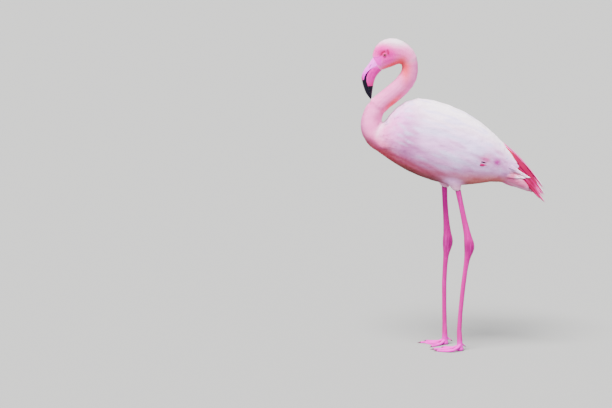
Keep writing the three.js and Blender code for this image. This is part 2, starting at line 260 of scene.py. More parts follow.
def by_owner(table, rest):
    """One value per node name, looked up by the longest key that the name starts with."""
    found = []
    for name in OWNER_NAMES:
        keys = [key for key in table if name.startswith(key)]
        found.append(table[max(keys, key=len)] if keys else rest)
    return np.array(found)


def let_in(made, rounds, table):
    """Moves a body's surface in by the depth of the coat that lies on it."""
    spots = points_of(made.data)
    depth = by_owner(table, 0.0)[owners_at(spots)]
    depth = evened(depth, edges_of(made.data), rounds)
    move_points(made.data, spots - normals_of(made.data) * depth[:, None])


# The mid neck is in both forms: it lies deeper in the body's, so that the head's finer one shows.
body = fused("body", BODY_NODES, 0.0037, 90)
head = fused("head_form", HEAD_NODES, 0.00185, 80)
legs = [fused("leg_" + side, [n + "_" + side for n in LEG_NODES], 0.00145, 16) for side in ("left", "right")]
let_in(body, 20, {**COAT_DEPTH, "neck_middle": 0.0032})
for part in [head] + legs:
    let_in(part, 12 if part is head else 3, COAT_DEPTH)

# The lids: on each side two folds of skin over the ball, open in an almond at the front.
EYE_SIDES = {"left": -1, "right": 1}
EYE_DEEPER = 0.0010
LID_TALL, LID_WIDE, LID_OUTER = math.radians(31), math.radians(39), math.radians(88)
LID_SLANT = 0.32
LID_HOOD = 0.17
LID_THICK = 0.00030
LID_INSIDE = 0.93


def eye_spot(side):
    """The eyeball's middle, a little deeper in the head than the frame's own ball, and its radius."""
    low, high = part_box("eye_" + side)
    centre = (low + high) / 2
    centre.y -= EYE_SIDES[side] * EYE_DEEPER
    return centre, (high.z - low.z) / 2


def lid_rows(side, steps=40, rings=5):
    """Rings of points over the eyeball, from the lid's edge outwards, and the same rings inside it."""
    centre, radius = eye_spot(side)
    rows = []
    for inner in (False, True):
        for ring in range(rings):
            share = ring / (rings - 1)
            row = []
            for i in range(steps):
                turn = 2 * math.pi * i / steps
                leaned = turn - LID_SLANT
                reach = math.hypot(LID_TALL * math.cos(leaned), LID_WIDE * math.sin(leaned))
                edge = LID_TALL * LID_WIDE / reach
                edge *= 1 - LID_HOOD * max(math.sin(leaned), 0)
                slope = edge + (LID_OUTER - edge) * share
                bulge = LID_THICK * math.sin(math.pi * min(share + 0.22, 1)) + LID_THICK
                far = radius * LID_INSIDE if inner else radius + bulge
                ahead = math.sin(slope) * math.cos(turn) * far
                above = math.sin(slope) * math.sin(turn) * far
                aside = math.cos(slope) * far * EYE_SIDES[side]
                row.append((centre.x + ahead, centre.y + aside, centre.z + above))
            rows.append(row)
    return rows[:rings] + rows[:rings - 1:-1]


def tube_mesh(name, rows):
    """A closed ring-shaped mesh from rows of points, each joined to the next and the last to the first."""
    steps = len(rows[0])
    faces = []
    for r in range(len(rows)):
        after = (r + 1) % len(rows)
        for i in range(steps):
            j = (i + 1) % steps
            faces.append((r * steps + i, r * steps + j, after * steps + j, after * steps + i))
    return plain_mesh(name, [spot for row in rows for spot in row], faces)


lids = []
for side in EYE_SIDES:
    lid = tube_mesh("lid_" + side, lid_rows(side))
    face_outwards(lid.data)
    lids.append(lid)
for part in [head] + legs + lids:
    fuse = body.modifiers.new("fuse", "BOOLEAN")
    fuse.operation = "UNION"
    fuse.solver = "MANIFOLD"
    fuse.object = part
skin_mesh = mesh_as_seen(body)
skin_mesh.name = "skin"
body.modifiers.clear()
skin = placed("skin", skin_mesh)
for part in [body, head] + legs + lids:
    bpy.data.objects.remove(part)
skin_mesh.shade_smooth()

# The seam between the two forms of the neck is ironed flat, and no sole reaches below the floor.
spots, edges = points_of(skin_mesh), edges_of(skin_mesh)
named = np.array(OWNER_NAMES)[owners_at(spots)]
middle, lower = named == "neck_middle", named == "neck_lower"
seam = (middle[edges[:, 0]] & lower[edges[:, 1]]) | (lower[edges[:, 0]] & middle[edges[:, 1]])
iron = np.zeros(len(spots))
iron[edges[seam].ravel()] = 1.0
iron = np.clip(evened(iron, edges, 24) * 6, 0, 1)[:, None]
for _ in range(60):
    spots = spots + 0.5 * iron * (around(spots, edges) - spots)
spots[:, 2] = np.maximum(spots[:, 2], 0.0)
move_points(skin_mesh, spots)


def unwrap(made, layer):
    """Unwraps a mesh by the way its faces point, into a UV map of that name."""
    made.data.uv_layers.new(name=layer)
    bpy.context.view_layer.objects.active = made
    made.select_set(True)
    bpy.ops.object.mode_set(mode="EDIT")
    bpy.ops.mesh.select_all(action="SELECT")
    bpy.ops.uv.smart_project(angle_limit=math.radians(66), island_margin=0.002)
    bpy.ops.object.mode_set(mode="OBJECT")
    made.select_set(False)


unwrap(skin, "skin_uv")


# ---------- Lie of the coat ----------
# How far each spot of the skin is from the bill, over the skin, gives the way that feathers point.
skin_points = points_of(skin_mesh)
skin_normals = normals_of(skin_mesh)
skin_edges = edges_of(skin_mesh)
skin_owner = owners_at(skin_points)
FAR = 9.0


def along_skin(spots, edges, best):
    """The shortest way over the mesh's edges to each vertex, from the vertices whose length is known."""
    lengths = np.linalg.norm(spots[edges[:, 0]] - spots[edges[:, 1]], axis=1).tolist()
    near = [[] for _ in range(len(spots))]
    for (a, b), length in zip(edges.tolist(), lengths):
        near[a].append((b, length))
        near[b].append((a, length))
    best = best.tolist()
    queue = [(far, i) for i, far in enumerate(best) if far < FAR]
    heapq.heapify(queue)
    while queue:
        far, i = heapq.heappop(queue)
        if far > best[i]:
            continue
        for j, length in near[i]:
            if far + length < best[j]:
                best[j] = far + length
                heapq.heappush(queue, (far + length, j))
    return np.array(best)


def tangent(directions, normals):
    """Directions laid flat on the skin, at length one."""
    flat = directions - normals * (directions * normals).sum(1)[:, None]
    return flat / np.maximum(np.linalg.norm(flat, axis=1), 1e-9)[:, None]


def share_of(kinds):
    """One where the nearest solid is of these kinds, else nought."""
    return by_owner({kind: 1.0 for kind in kinds}, 0.0)[skin_owner]


# The bill's tip is so near the neck that the two skins can touch, so the tip's edges are shut off and
# the way goes over the head instead.
on_bill = share_of(["bill"]) > 0
bill_low, bill_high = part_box("bill_upper")
bill_tip = on_bill & (skin_points[:, 2] < (bill_low.z + bill_high.z) / 2)
open_edges = skin_edges[~bill_tip[skin_edges].any(1)]
from_bill = along_skin(skin_points, open_edges, np.where(on_bill & ~bill_tip, 0.0, FAR))
from_bill = np.where(bill_tip, along_skin(skin_points, skin_edges, from_bill), from_bill)
from_bill = evened(from_bill, skin_edges, 30)
steps = skin_points[skin_edges[:, 1]] - skin_points[skin_edges[:, 0]]
rises = (from_bill[skin_edges[:, 1]] - from_bill[skin_edges[:, 0]]) / np.maximum((steps**2).sum(1), 1e-12)
slope = np.zeros_like(skin_points)
for axis in range(3):
    for end in (0, 1):
        slope[:, axis] += np.bincount(skin_edges[:, end], rises * steps[:, axis], len(skin_points))
lie = tangent(slope, skin_normals)

# On the trunk the feathers point rearwards and on the thighs downwards, with a soft change between.
trunk_share = evened(share_of(["trunk", "wing", "tail"]), skin_edges, 60)
thigh_share = evened(share_of(["thigh"]), skin_edges, 12)
neck_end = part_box("neck_lower")
tail_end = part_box("tail")
rearward = Vector((tail_end[1].x - neck_end[0].x, 0, tail_end[0].z - neck_end[0].z - 0.03)).normalized()
lie = lie + np.outer(trunk_share, rearward) * 1.3 + np.outer(thigh_share, (0.2, 0, -1.0)) * 1.5
lie = tangent(lie, skin_normals)
for _ in range(14):
    lie = tangent(evened(lie, skin_edges, 1), skin_normals)


# ---------- Markings, with painted light and shade ---
# One colour for each spot of the skin, from where it is on the bird: the plumage's own pinks, with painted
# shade low on the body, at the wing's front edge and in the neck's bend, and painted light on the top and on
# pale lobes. The coat takes it from the skin.
def ramp(values, start, end):
    """Nought at the start and one at the end, with a smooth rise between."""
    t = np.clip((values - start) / (end - start), 0, 1)
    return t * t * (3 - 2 * t)


def in_box(node, ahead, above):
    """The side-view spot, [x, z], at these shares of a node's box."""
    low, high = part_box(node)
    return np.array([low.x + (high.x - low.x) * ahead, low.z + (high.z - low.z) * above])


def patch(spots, middle, radii, turn=0.0):
    """One in the middle of a soft oval in side view, falling to nought outside it."""
    away = spots[:, [0, 2]] - middle
    c, s = math.cos(turn), math.sin(turn)
    along = (away[:, 0] * c + away[:, 1] * s) / radii[0]
    across = (-away[:, 0] * s + away[:, 1] * c) / radii[1]
    return np.exp(-(along**2 + across**2))


def laid_over(under, shade, weight):
    """Colours with one more shade over them, by its weight at each point."""
    return under + (np.array(shade) - under) * weight[:, None]


def height_share(spots, trunk, slices=39):
    """How high a spot is between the trunk's lower and upper line at its x, from nought to one."""
    bounds = np.linspace(spots[trunk, 0].min(), spots[trunk, 0].max(), slices + 1)
    place = np.clip(np.digitize(spots[trunk, 0], bounds), 1, slices)
    heights = [spots[trunk][place == i, 2] for i in range(1, slices + 1)]
    middles = (bounds[1:] + bounds[:-1]) / 2
    low_line = np.interp(spots[:, 0], middles, [part.min() for part in heights])
    top_line = np.interp(spots[:, 0], middles, [part.max() for part in heights])
    return (spots[:, 2] - low_line) / (top_line - low_line)


def from_path(spots, path):
    """Each spot's distance in side view from a line of points, and its share of the way along the line."""
    flat, best, where = spots[:, [0, 2]], np.full(len(spots), FAR), np.zeros(len(spots))
    for i, (start, end) in enumerate(zip(path[:-1], path[1:])):
        along = end - start
        share = np.clip(((flat - start) @ along) / (along @ along), 0, 1)
        far = np.linalg.norm(flat - (start + share[:, None] * along), axis=1)
        nearer = far < best
        best[nearer] = far[nearer]
        where[nearer] = (i + share[nearer]) / (len(path) - 1)
    return best, where


def inside(spots, corners, soft):
    """One inside a convex outline in side view, whose corners run anticlockwise, with a soft edge."""
    least = np.full(len(spots), FAR)
    for start, end in zip(corners, corners[1:] + corners[:1]):
        along = (end - start) / np.linalg.norm(end - start)
        away = spots[:, [0, 2]] - start
        least = np.minimum(least, along[0] * away[:, 1] - along[1] * away[:, 0])
    return ramp(least, -soft, soft)


def waves(spots, turn, sizes, seed):
    """Smooth noise, from minus one to one, drawn out along a slope in side view."""
    c, s = math.cos(turn), math.sin(turn)
    along, across = spots[:, 0] * c + spots[:, 2] * s, spots[:, 2] * c - spots[:, 0] * s
    places = np.c_[along / sizes[0], across / sizes[1], spots[:, 1] / sizes[1] + seed]
    return np.array([noise.noise(Vector(place)) for place in places])


# Some of these stand for light and shade: the purplish one for painted shade, the bluish white for pale lobes
# with painted skylight, the orange-red one on the neck for painted warm light and shade, and the salmon,
# breast and under tones for the underside's own warmth with painted shade.
SHADES = {
    "white": (0.90, 0.80, 0.88), "cool": (0.66, 0.56, 0.88), "silk": (0.80, 0.30, 0.84),
    "lilac": (0.42, 0.11, 0.32), "orchid": (0.80, 0.12, 0.76), "salmon": (0.09, 0.040, 0.032),
    "breast": (0.42, 0.065, 0.095), "under": (0.56, 0.15, 0.13),
    "neck": (0.88, 0.19, 0.53), "glow": (0.92, 0.09, 0.10),
    "blush": (0.90, 0.006, 0.45), "rose": (0.50, 0.001, 0.16), "crimson": (0.33, 0.001, 0.050),
    "lore": (0.84, 0.004, 0.56), "leg": (0.42, 0.001, 0.205), "hock": (0.22, 0.001, 0.105),
    "foot": (0.66, 0.002, 0.47), "web": (0.34, 0.001, 0.21),
}
trunk_only = share_of(["trunk", "wing"]) > 0
body_height = height_share(skin_points, trunk_only)
body_ahead = (skin_points[:, 0] - neck_end[0].x) / (tail_end[1].x - neck_end[0].x)
eye_middle = np.array([eye_spot("left")[0].x, eye_spot("left")[0].z])
neck_share = np.clip(evened(share_of(["neck", "head"]), skin_edges, 20), 0, 1)
tail_share = evened(share_of(["tail"]), skin_edges, 10)
bare = evened(share_of(["shank", "hock", "tarsus", "foot", "claw"]), skin_edges, 2)
fine_waves = waves(skin_points, -0.42, (0.055, 0.011), 3.0)
broad_waves = waves(skin_points, -0.35, (0.12, 0.030), 7.0)
front = ramp(body_ahead, 0.90, 0.25)


def in_wing(ahead, above, radii, turn=0.0):
    return patch(skin_points, in_box("wing_left", ahead, above), radii, turn) * trunk_share


def near_eye(ahead, above, radii, turn=0.0):
    return patch(skin_points, eye_middle + (ahead, above), radii, turn)


def eye_line(points, half):
    return np.exp(-((from_path(skin_points, [eye_middle + point for point in points])[0] / half) ** 2))


from_eyes = [np.linalg.norm(skin_points - np.array(eye_spot(side)[0]), axis=1) for side in EYE_SIDES]
from_eye = np.min(from_eyes, axis=0)
forehead, gape_start = in_box("bill_upper", 0.76, 1.0), in_box("bill_lower", 0.95, 1.0)
lores = [forehead + (-0.008, 0.001), gape_start + (-0.014, 0.0), gape_start, eye_middle + (-0.0065, -0.001)]
lores = inside(skin_points, lores, 0.0050) * ramp(bare, 0.5, 0.2)
shaded_low_edge = ramp(body_height + 0.03 * fine_waves, 0.15, 0.0) * (0.45 + 0.55 * front)
face = ramp(from_bill, 0.185, 0.115) * evened(share_of(["head"]), skin_edges, 28)
shaded_low_flank = ramp(body_height + 0.10 * broad_waves, 0.55, 0.20) * (0.30 + 0.70 * front)
neck_root = ramp(body_ahead + 0.05 * broad_waves, 0.27, 0.11) * ramp(body_height, 1.0, 0.8)
shaded_low_breast = ramp(body_height + 0.05 * fine_waves, 0.31, 0.08) * (0.05 + 0.95 * front)

# Each layer is a shade and how much of it lies on each spot, from the first coat to the last.
layers = [
    # The sides are pinker and the top whiter: partly the plumage's own tone, partly painted light falling on
    # the top.
    ("silk", 0.72 * ramp(body_height, 1.02, 0.50) * trunk_share),
    ("orchid", 0.60 * in_wing(0.08, 0.80, (0.050, 0.055), -0.3)),
    # Painted shade, purplish: low on the flank, and at the wing's front edge where it bulges over the breast.
    ("lilac", 0.60 * shaded_low_flank * trunk_share),
    ("lilac", 0.80 * in_wing(0.13, 0.49, (0.030, 0.075), -0.2)),
    # Painted light: pale lobes of the wing's coverts, their white tinted bluish as painted skylight.
    ("cool", 0.9 * in_wing(0.32, 0.63, (0.055, 0.014), -0.17)),
    ("cool", 0.9 * in_wing(0.61, 0.40, (0.060, 0.028), -0.50)),
    ("cool", 0.6 * in_wing(0.50, 0.25, (0.060, 0.014), -0.35)),
    # Painted shade, purplish, low at the wing's rear by the gap in the flank.
    ("lilac", 0.40 * in_wing(0.74, 0.27, (0.045, 0.030), -0.3)),
    # Painted light and shade: pale streaks along the lie of the feathers, with purplish shade between them.
    ("cool", 0.75 * ramp(fine_waves, 0.10, 0.50) * ramp(body_height, 0.12, 0.35) * trunk_share),
    ("lilac", 0.45 * ramp(fine_waves, -0.12, -0.55) * ramp(body_height, 0.95, 0.6) * trunk_share),
    ("neck", 0.85 * neck_root * trunk_share),
    # Painted shade over the underside's own warm tone: salmon and rosy brown towards the belly line, the
    # lower breast and the rear underside, also standing for warm light thrown up from the ground.
    ("breast", 0.97 * shaded_low_breast * trunk_share),
    ("under", 0.9 * ramp(body_height, 0.28, 0.06) * ramp(body_ahead, 0.45, 0.65) * trunk_share),
    ("breast", 0.85 * patch(skin_points, in_box("trunk", 0.11, 0.44), (0.046, 0.024), -0.6)),
    ("salmon", 0.95 * shaded_low_edge * trunk_share),
    ("orchid", 0.45 * tail_share),
    # Painted light in streaks on the tail, and painted shade over its own warm tone along its lower edge.
    ("cool", 0.6 * tail_share * ramp(fine_waves, 0.0, 0.4)),
    ("under", 0.45 * tail_share * ramp(body_height, 0.24, 0.04)),
    ("rose", 0.80 * in_wing(0.668, 0.285, (0.0165, 0.0130))),
    ("web", 0.95 * in_wing(0.749, 0.236, (0.0120, 0.0110))),
    ("silk", 0.55 * thigh_share),
    # Darker and warmer towards the thigh's hem: the thigh's own salmon with painted shade.
    ("under", 0.40 * thigh_share * ramp(skin_points[:, 2], 0.53, 0.50)),
    ("neck", 0.95 * neck_share * (1 - face)),
    # Painted shade, purplish, down the front of the lower neck.
    ("lilac", 0.35 * patch(skin_points, in_box("neck_lower", 0.02, 0.45), (0.014, 0.045)) * neck_share),
    # Painted shade with the breast's own warm tone under the lower neck.
    ("breast", 0.95 * patch(skin_points, in_box("neck_lower", 0.36, 0.06), (0.075, 0.026), -0.60)),
    # Painted warm light and shade over the neck's own salmon, along the inside of the neck's bends.
    ("glow", 0.90 * patch(skin_points, in_box("neck_middle", 0.56, 0.30), (0.036, 0.009), 0.75) * neck_share),
    ("glow", 0.80 * patch(skin_points, in_box("neck_upper", 0.42, 0.68), (0.015, 0.038)) * neck_share),
    ("neck", 0.92 * face * ramp(skin_points[:, 2], eye_middle[1] + 0.042, eye_middle[1] + 0.014)),
    ("blush", 0.92 * near_eye(0.004, -0.004, (0.038, 0.032), -0.25)),
    ("blush", 0.80 * near_eye(-0.010, 0.014, (0.026, 0.018), 0.5)),
    # Painted warm light with the neck's own salmon along the throat under the head, and painted shade in the
    # corner where the throat meets the neck.
    ("glow", 0.95 * patch(skin_points, in_box("head", 0.42, 0.19), (0.034, 0.0065), 0.48) * neck_share),
    ("glow", 0.92 * patch(skin_points, in_box("head", 0.66, 0.24), (0.017, 0.020)) * neck_share),
    ("breast", 0.45 * patch(skin_points, in_box("head", 0.67, 0.14), (0.008, 0.014)) * neck_share),
    ("lore", 0.90 * lores),
    ("rose", 0.92 * near_eye(-0.003, 0.006, (0.021, 0.012))),
    ("rose", 0.70 * ramp(from_eye, 0.0080, 0.0068)),
    ("crimson", 0.95 * eye_line([(-0.0118, -0.0010), (-0.0070, 0.0070), (-0.0010, 0.0105)], 0.0025)),
    ("crimson", 0.90 * eye_line([(0.0080, 0.0145), (0.0100, 0.0090), (0.0102, 0.0040)], 0.0027)),
    ("crimson", 0.50 * eye_line([(0.0010, -0.0062), (0.0045, -0.0055)], 0.0013)),
    # Painted shadow: a thin dark rose line along the bill's base, where the forehead feathers end.
    ("web", 0.50 * eye_line([(-0.0300, -0.0085), (-0.0215, -0.0080), (-0.0150, -0.0050)], 0.0014)),
    ("leg", bare),
    ("foot", ramp(skin_points[:, 2], 0.045, 0.012) * bare * 0.9),
    ("web", 0.75 * bare * ramp(skin_points[:, 2], 0.0075, 0.005) * ramp(skin_normals[:, 2], 0.6, 0.95)),
]
for side, outwards in EYE_SIDES.items():
    this_side = ramp(skin_points[:, 1] * outwards, -0.01, 0.0)
    hock = patch(skin_points, in_box("hock_" + side, 0.5, 0.5), (0.03, 0.022))
    layers.append(("hock", 0.9 * hock * bare * this_side))
tone = np.tile(SHADES["white"], (len(skin_points), 1))
for shade, weight in layers:
    tone = laid_over(tone, SHADES[shade], weight)


def store(mesh, name, kind, domain, values):
    """Values kept on the mesh as an attribute."""
    field = "color" if kind == "FLOAT_COLOR" else "vector" if kind in ("FLOAT_VECTOR", "FLOAT2") else "value"
    layer = mesh.attributes.new(name, kind, domain)
    layer.data.foreach_set(field, np.ascontiguousarray(values, np.float32).ravel())


store(skin_mesh, "tone", "FLOAT_COLOR", "POINT", np.c_[np.clip(tone, 0, 1), np.ones(len(tone))])
store(skin_mesh, "facing", "FLOAT_VECTOR", "POINT", skin_normals)
store(skin_mesh, "lie", "FLOAT_VECTOR", "POINT", lie)
store(skin_mesh, "bare", "FLOAT", "POINT", bare)


# ---------- Skin finish ----------
# The bare skin of the lores, eye rims, legs and webs: pink and finely pored. On the legs and feet it
# has flat scutes and long paler streaks of painted highlight. The same skin lies unseen under the whole coat.
def new_material(name, roughness, shine=0.5, shine_color=(1.0, 1.0, 1.0)):
    made = bpy.data.materials.new(name)
    made.use_nodes = True
    shader = made.node_tree.nodes["Principled BSDF"]
    shader.inputs["Roughness"].default_value = roughness
    shader.inputs["Specular IOR Level"].default_value = shine
    shader.inputs["Specular Tint"].default_value = (*shine_color, 1)
    return made


def dress(made, material, slot, *replaced):
    """Gives a finished piece its material and its body, and hides the nodes that it stands for. slot is not
    used.
    """
    made.data.materials.clear()
    made.data.materials.append(material)
    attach(made, "root")
    if replaced:
        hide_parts(*replaced)


class Nodes:
    """Short ways to add and join the nodes of a tree."""

    def __init__(self, tree):
        self.tree = tree

    def add(self, kind, inputs=None, **settings):
        node = self.tree.nodes.new(kind)
        for key, value in settings.items():
            setattr(node, key, value)
        for key, value in (inputs or {}).items():
            if isinstance(value, bpy.types.NodeSocket):
                self.tree.links.new(value, node.inputs[key])
            else:
                node.inputs[key].default_value = value
        return node

    def math(self, operation, first, second=0.0):
        return self.add("ShaderNodeMath", {0: first, 1: second}, operation=operation).outputs[0]

    def mix(self, factor, first, second):
        node = self.add("ShaderNodeMix", data_type="RGBA")
        for key, value in (("Factor_Float", factor), ("A_Color", first), ("B_Color", second)):
            socket = next(s for s in node.inputs if s.identifier == key)
            if isinstance(value, bpy.types.NodeSocket):
                self.tree.links.new(value, socket)
            else:
                socket.default_value = value
        return next(s for s in node.outputs if s.identifier == "Result_Color")

    def place(self):
        return self.add("ShaderNodeTexCoord").outputs["Object"]

    def attribute(self, name, output="Fac"):
        return self.add("ShaderNodeAttribute", attribute_name=name).outputs[output]

    def stretched(self, place, scale, turn=(0, 0, 0)):
        return self.add("ShaderNodeMapping", {"Vector": place, "Rotation": turn, "Scale": scale}).outputs[0]

    def noise(self, place, scale, detail):
        return self.add("ShaderNodeTexNoise", {"Vector": place, "Scale": scale, "Detail": detail}).outputs[0]

    def ranged(self, value, start, end, low=0.0, high=1.0):
        return self.add("ShaderNodeMapRange", {"Value": value, 1: start, 2: end, 3: low, 4: high}).outputs[0]

    def toned(self, color, saturation, value):
        inputs = {"Saturation": saturation, "Value": value, "Color": color}
        return self.add("ShaderNodeHueSaturation", inputs).outputs[0]

    def paint(self, color, height=None, strength=0.0, depth=0.0):
        """The tree's shader gets this colour, and relief of this depth in metres."""
        shader = self.tree.nodes["Principled BSDF"]
        self.tree.links.new(color, shader.inputs["Base Color"])
        if height:
            bump = self.add("ShaderNodeBump", {"Strength": strength, "Distance": depth, "Height": height})
            self.tree.links.new(bump.outputs[0], shader.inputs["Normal"])


skin_material = new_material("bare_pink_skin", 0.5, 0.25, (1.0, 0.22, 0.65))
nodes = Nodes(skin_material.node_tree)
place, bare_share = nodes.place(), nodes.attribute("bare")
# Painted highlights: long paler streaks down the bare legs and feet.
highlight_streaks = nodes.noise(nodes.stretched(place, (220, 220, 14)), 1.0, 3.0)
highlight_share = nodes.math("MULTIPLY", nodes.ranged(highlight_streaks, 0.5, 0.72, 0.0, 0.30), bare_share)
highlighted = nodes.mix(highlight_share, nodes.attribute("tone", "Color"), (0.84, 0.03, 0.55, 1))
scute_place = nodes.stretched(place, (1, 1, 0.75))
scutes = nodes.add("ShaderNodeTexVoronoi", {"Vector": scute_place, "Scale": 560}, feature="DISTANCE_TO_EDGE")
scute_height = nodes.math("MULTIPLY", nodes.ranged(scutes.outputs[0], 0.0, 0.12), bare_share)
pores = nodes.math("MULTIPLY", nodes.noise(place, 1400.0, 2.0), 0.35)
nodes.paint(highlighted, nodes.math("ADD", scute_height, pores), 0.35, 0.00025)
SKIN_NODES = [name for name in frame["nodes"] if not name.startswith(("bill", "eye", "claw", "plumes"))]
dress(skin, skin_material, "pale_plumage", *SKIN_NODES)


# ---------- Coat ----------
# Thin closed vanes rooted all over the skin, pointing along its lie and overlapping like tiles. They are
# short on the face, longer down the neck and longest on the body, with long scapulars over the flanks.
SIZES = {
    "head": 0.0058, "neck_upper": 0.0092, "neck_middle": 0.0105, "neck_lower": 0.0140,
    "trunk": 0.027, "wing": 0.036, "tail": 0.036, "thigh": 0.014,
}
LIFTS = {
    "head": 0.0006, "neck_upper": 0.0010, "neck_middle": 0.0013, "neck_lower": 0.0022,
    "trunk": 0.0033, "wing": 0.0034, "tail": 0.0020, "thigh": 0.0022,
}
face_share = ramp(from_bill, 0.0, 0.05)
size = evened(by_owner(SIZES, 0.004)[skin_owner], skin_edges, 40) * (0.62 + 0.38 * face_share)

# The thighs' feathers shorten towards the hem, so that none hangs over the bare leg.
near_bare = evened(bare, skin_edges, 16)
hem = np.where(skin_points[:, 1] < 0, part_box("thigh_left")[0].z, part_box("thigh_right")[0].z)
above_hem = skin_points[:, 2] - hem
size = np.where(thigh_share > 0.3, np.minimum(size, np.maximum(0.002 + 0.6 * above_hem, 0.004)), size)
size = size * (1 - 0.25 * ramp(near_bare, 0.02, 0.22) * ramp(thigh_share, 0.2, 0.4))
lift = evened(by_owner(LIFTS, 0.0)[skin_owner], skin_edges, 30)

# Nothing grows on the legs and lores, along the bill, round the eye or on the very hem of the thighs.
BARE_BY_BILL, BARE_BY_EYE, BARE_BY_HEM = 0.0012, 0.0079, 0.003
feathered = (bare < 0.35) & (from_bill > BARE_BY_BILL) & (from_eye > BARE_BY_EYE) & (lores < 0.5)
on_head = feathered & (evened(share_of(["head"]), skin_edges, 2) > 0.5)
all_neck = feathered & (evened(share_of(["neck"]), skin_edges, 4) > 0.25) & ~on_head
on_nape = all_neck & (evened(share_of(["neck_upper"]), skin_edges, 4) > 0.5)
on_neck = all_neck & ~on_nape
on_thigh = feathered & (thigh_share > 0.35) & (near_bare < 0.22) & (above_hem > BARE_BY_HEM)
on_tail = feathered & (tail_share > 0.45)
on_trunk = feathered & ~on_head & ~on_thigh & (trunk_share > 0.25) & (tail_share < 0.7)
flank = on_trunk & (body_height > 0.36) & (body_ahead > 0.2) & (body_ahead < 0.80) & (trunk_share > 0.8)

# Each piece of the coat has its own part of the skin, a little over the next one's at their borders.
WHERE = {
    "on_head": on_head, "on_nape": on_nape, "on_neck": on_neck,
    "on_thigh": on_thigh, "on_flank": flank, "on_tail": on_tail,
    "on_breast": on_trunk & (body_ahead < 0.45) & (body_height < 0.52),
    "on_shoulders": on_trunk & (body_ahead < 0.45) & (body_height >= 0.50),
    "on_belly": on_trunk & (body_ahead >= 0.43) & (body_height < 0.52),
    "on_back": on_trunk & (body_ahead >= 0.43) & (body_height >= 0.50),
}
for name, values in (("size", size), ("lift", lift)):
    store(skin_mesh, name, "FLOAT", "POINT", values)
for name, values in WHERE.items():
    store(skin_mesh, name, "FLOAT", "POINT", values)


def vane_mesh(name, locks, outline, press):
    """One feather lying flat, root at the origin and one unit long in +Y, of one or more pointed locks.

    A lock is (how far it leans, length, half width), and outline is how wide it is along its length.
    high is each point's height over the skin: it rises along the feather, and the tip is pressed down."""
    spots, faces, high, flat = [], [], [], []
    for lean, length, half in locks:
        start = len(spots)
        for share, wide in outline:
            x, y = share * length * math.sin(lean), share * length * math.cos(lean)
            rise = share * length - press * ramp(share * length, 0.66, 1.0)
            for side, over in ((-1, -0.03), (0, 0.05), (1, -0.03)):
                spots.append((x + side * half * wide, y, 0.0))
                high.append(rise + over - 0.25 * (1 - share) ** 3)
                flat.append((0.5 + side * half * wide * 2, share * length))
        for i in range(len(outline) - 1):
            for j in range(3):
                a, b = start + 3 * i + j, start + 3 * i + (j + 1) % 3
                faces.append((a, b, b + 3, a + 3))
        spots.append((length * math.sin(lean), length * math.cos(lean), 0.0))
        high.append(length - press - 0.02)
        flat.append((0.5, length))
        end = len(spots) - 1
        faces += [(end - 3, end - 2, end), (end - 2, end - 1, end), (end - 1, end - 3, end)]
        faces.append((start + 2, start + 1, start))
    made = plain_mesh(name, spots, faces)
    store(made.data, "high", "FLOAT", "POINT", high)
    layer = made.data.uv_layers.new(name="vane")
    for loop in made.data.loops:
        layer.data[loop.index].uv = flat[loop.vertex_index]
    return made


def vane_set(name, outline, press, kinds):
    """A collection of feather shapes to pick from, outside the scene."""
    group = bpy.data.collections.new(name)
    for i, locks in enumerate(kinds):
        made = vane_mesh(f"{name}_{i}", locks, outline, press)
        bpy.context.scene.collection.objects.unlink(made)
        group.objects.link(made)
    return group


# How wide a feather is at each share of its length, and the locks of each kind of feather.
POINTED = [(0.0, 0.45), (0.3, 0.85), (0.62, 1.0), (0.85, 0.58)]
ROUNDED = [(0.0, 0.45), (0.3, 0.85), (0.60, 1.0), (0.84, 0.86), (0.95, 0.52)]
TUFTED = [(0.0, 0.5), (0.45, 1.0), (0.80, 0.62)]
SHORT_VANES = vane_set("short_vanes", TUFTED, 0.20, [
    [(0.0, 1.0, 0.090), (0.17, 0.86, 0.065), (-0.18, 0.88, 0.065)],
    [(0.04, 0.96, 0.080), (0.23, 0.82, 0.065), (-0.13, 0.92, 0.070)],
    [(-0.03, 1.05, 0.085), (0.14, 0.90, 0.070), (-0.22, 0.82, 0.060)],
])
BODY_VANES = vane_set("body_vanes", ROUNDED, 0.13, [
    [(0.0, 1.0, 0.160), (0.15, 0.90, 0.095), (-0.16, 0.91, 0.095)],
    [(0.03, 0.97, 0.145), (0.20, 0.86, 0.100), (-0.12, 0.94, 0.100)],
    [(-0.02, 1.03, 0.155), (0.11, 0.96, 0.100), (-0.20, 0.86, 0.090)],
])
LONG_VANES = vane_set("long_vanes", POINTED, 0.13, [
    [(0.0, 1.0, 0.080), (0.05, 0.93, 0.050)],
    [(0.01, 0.97, 0.075), (-0.06, 0.9, 0.050)],
])


DENSEST = 400000.0
BAKE_PATCH = 0.003


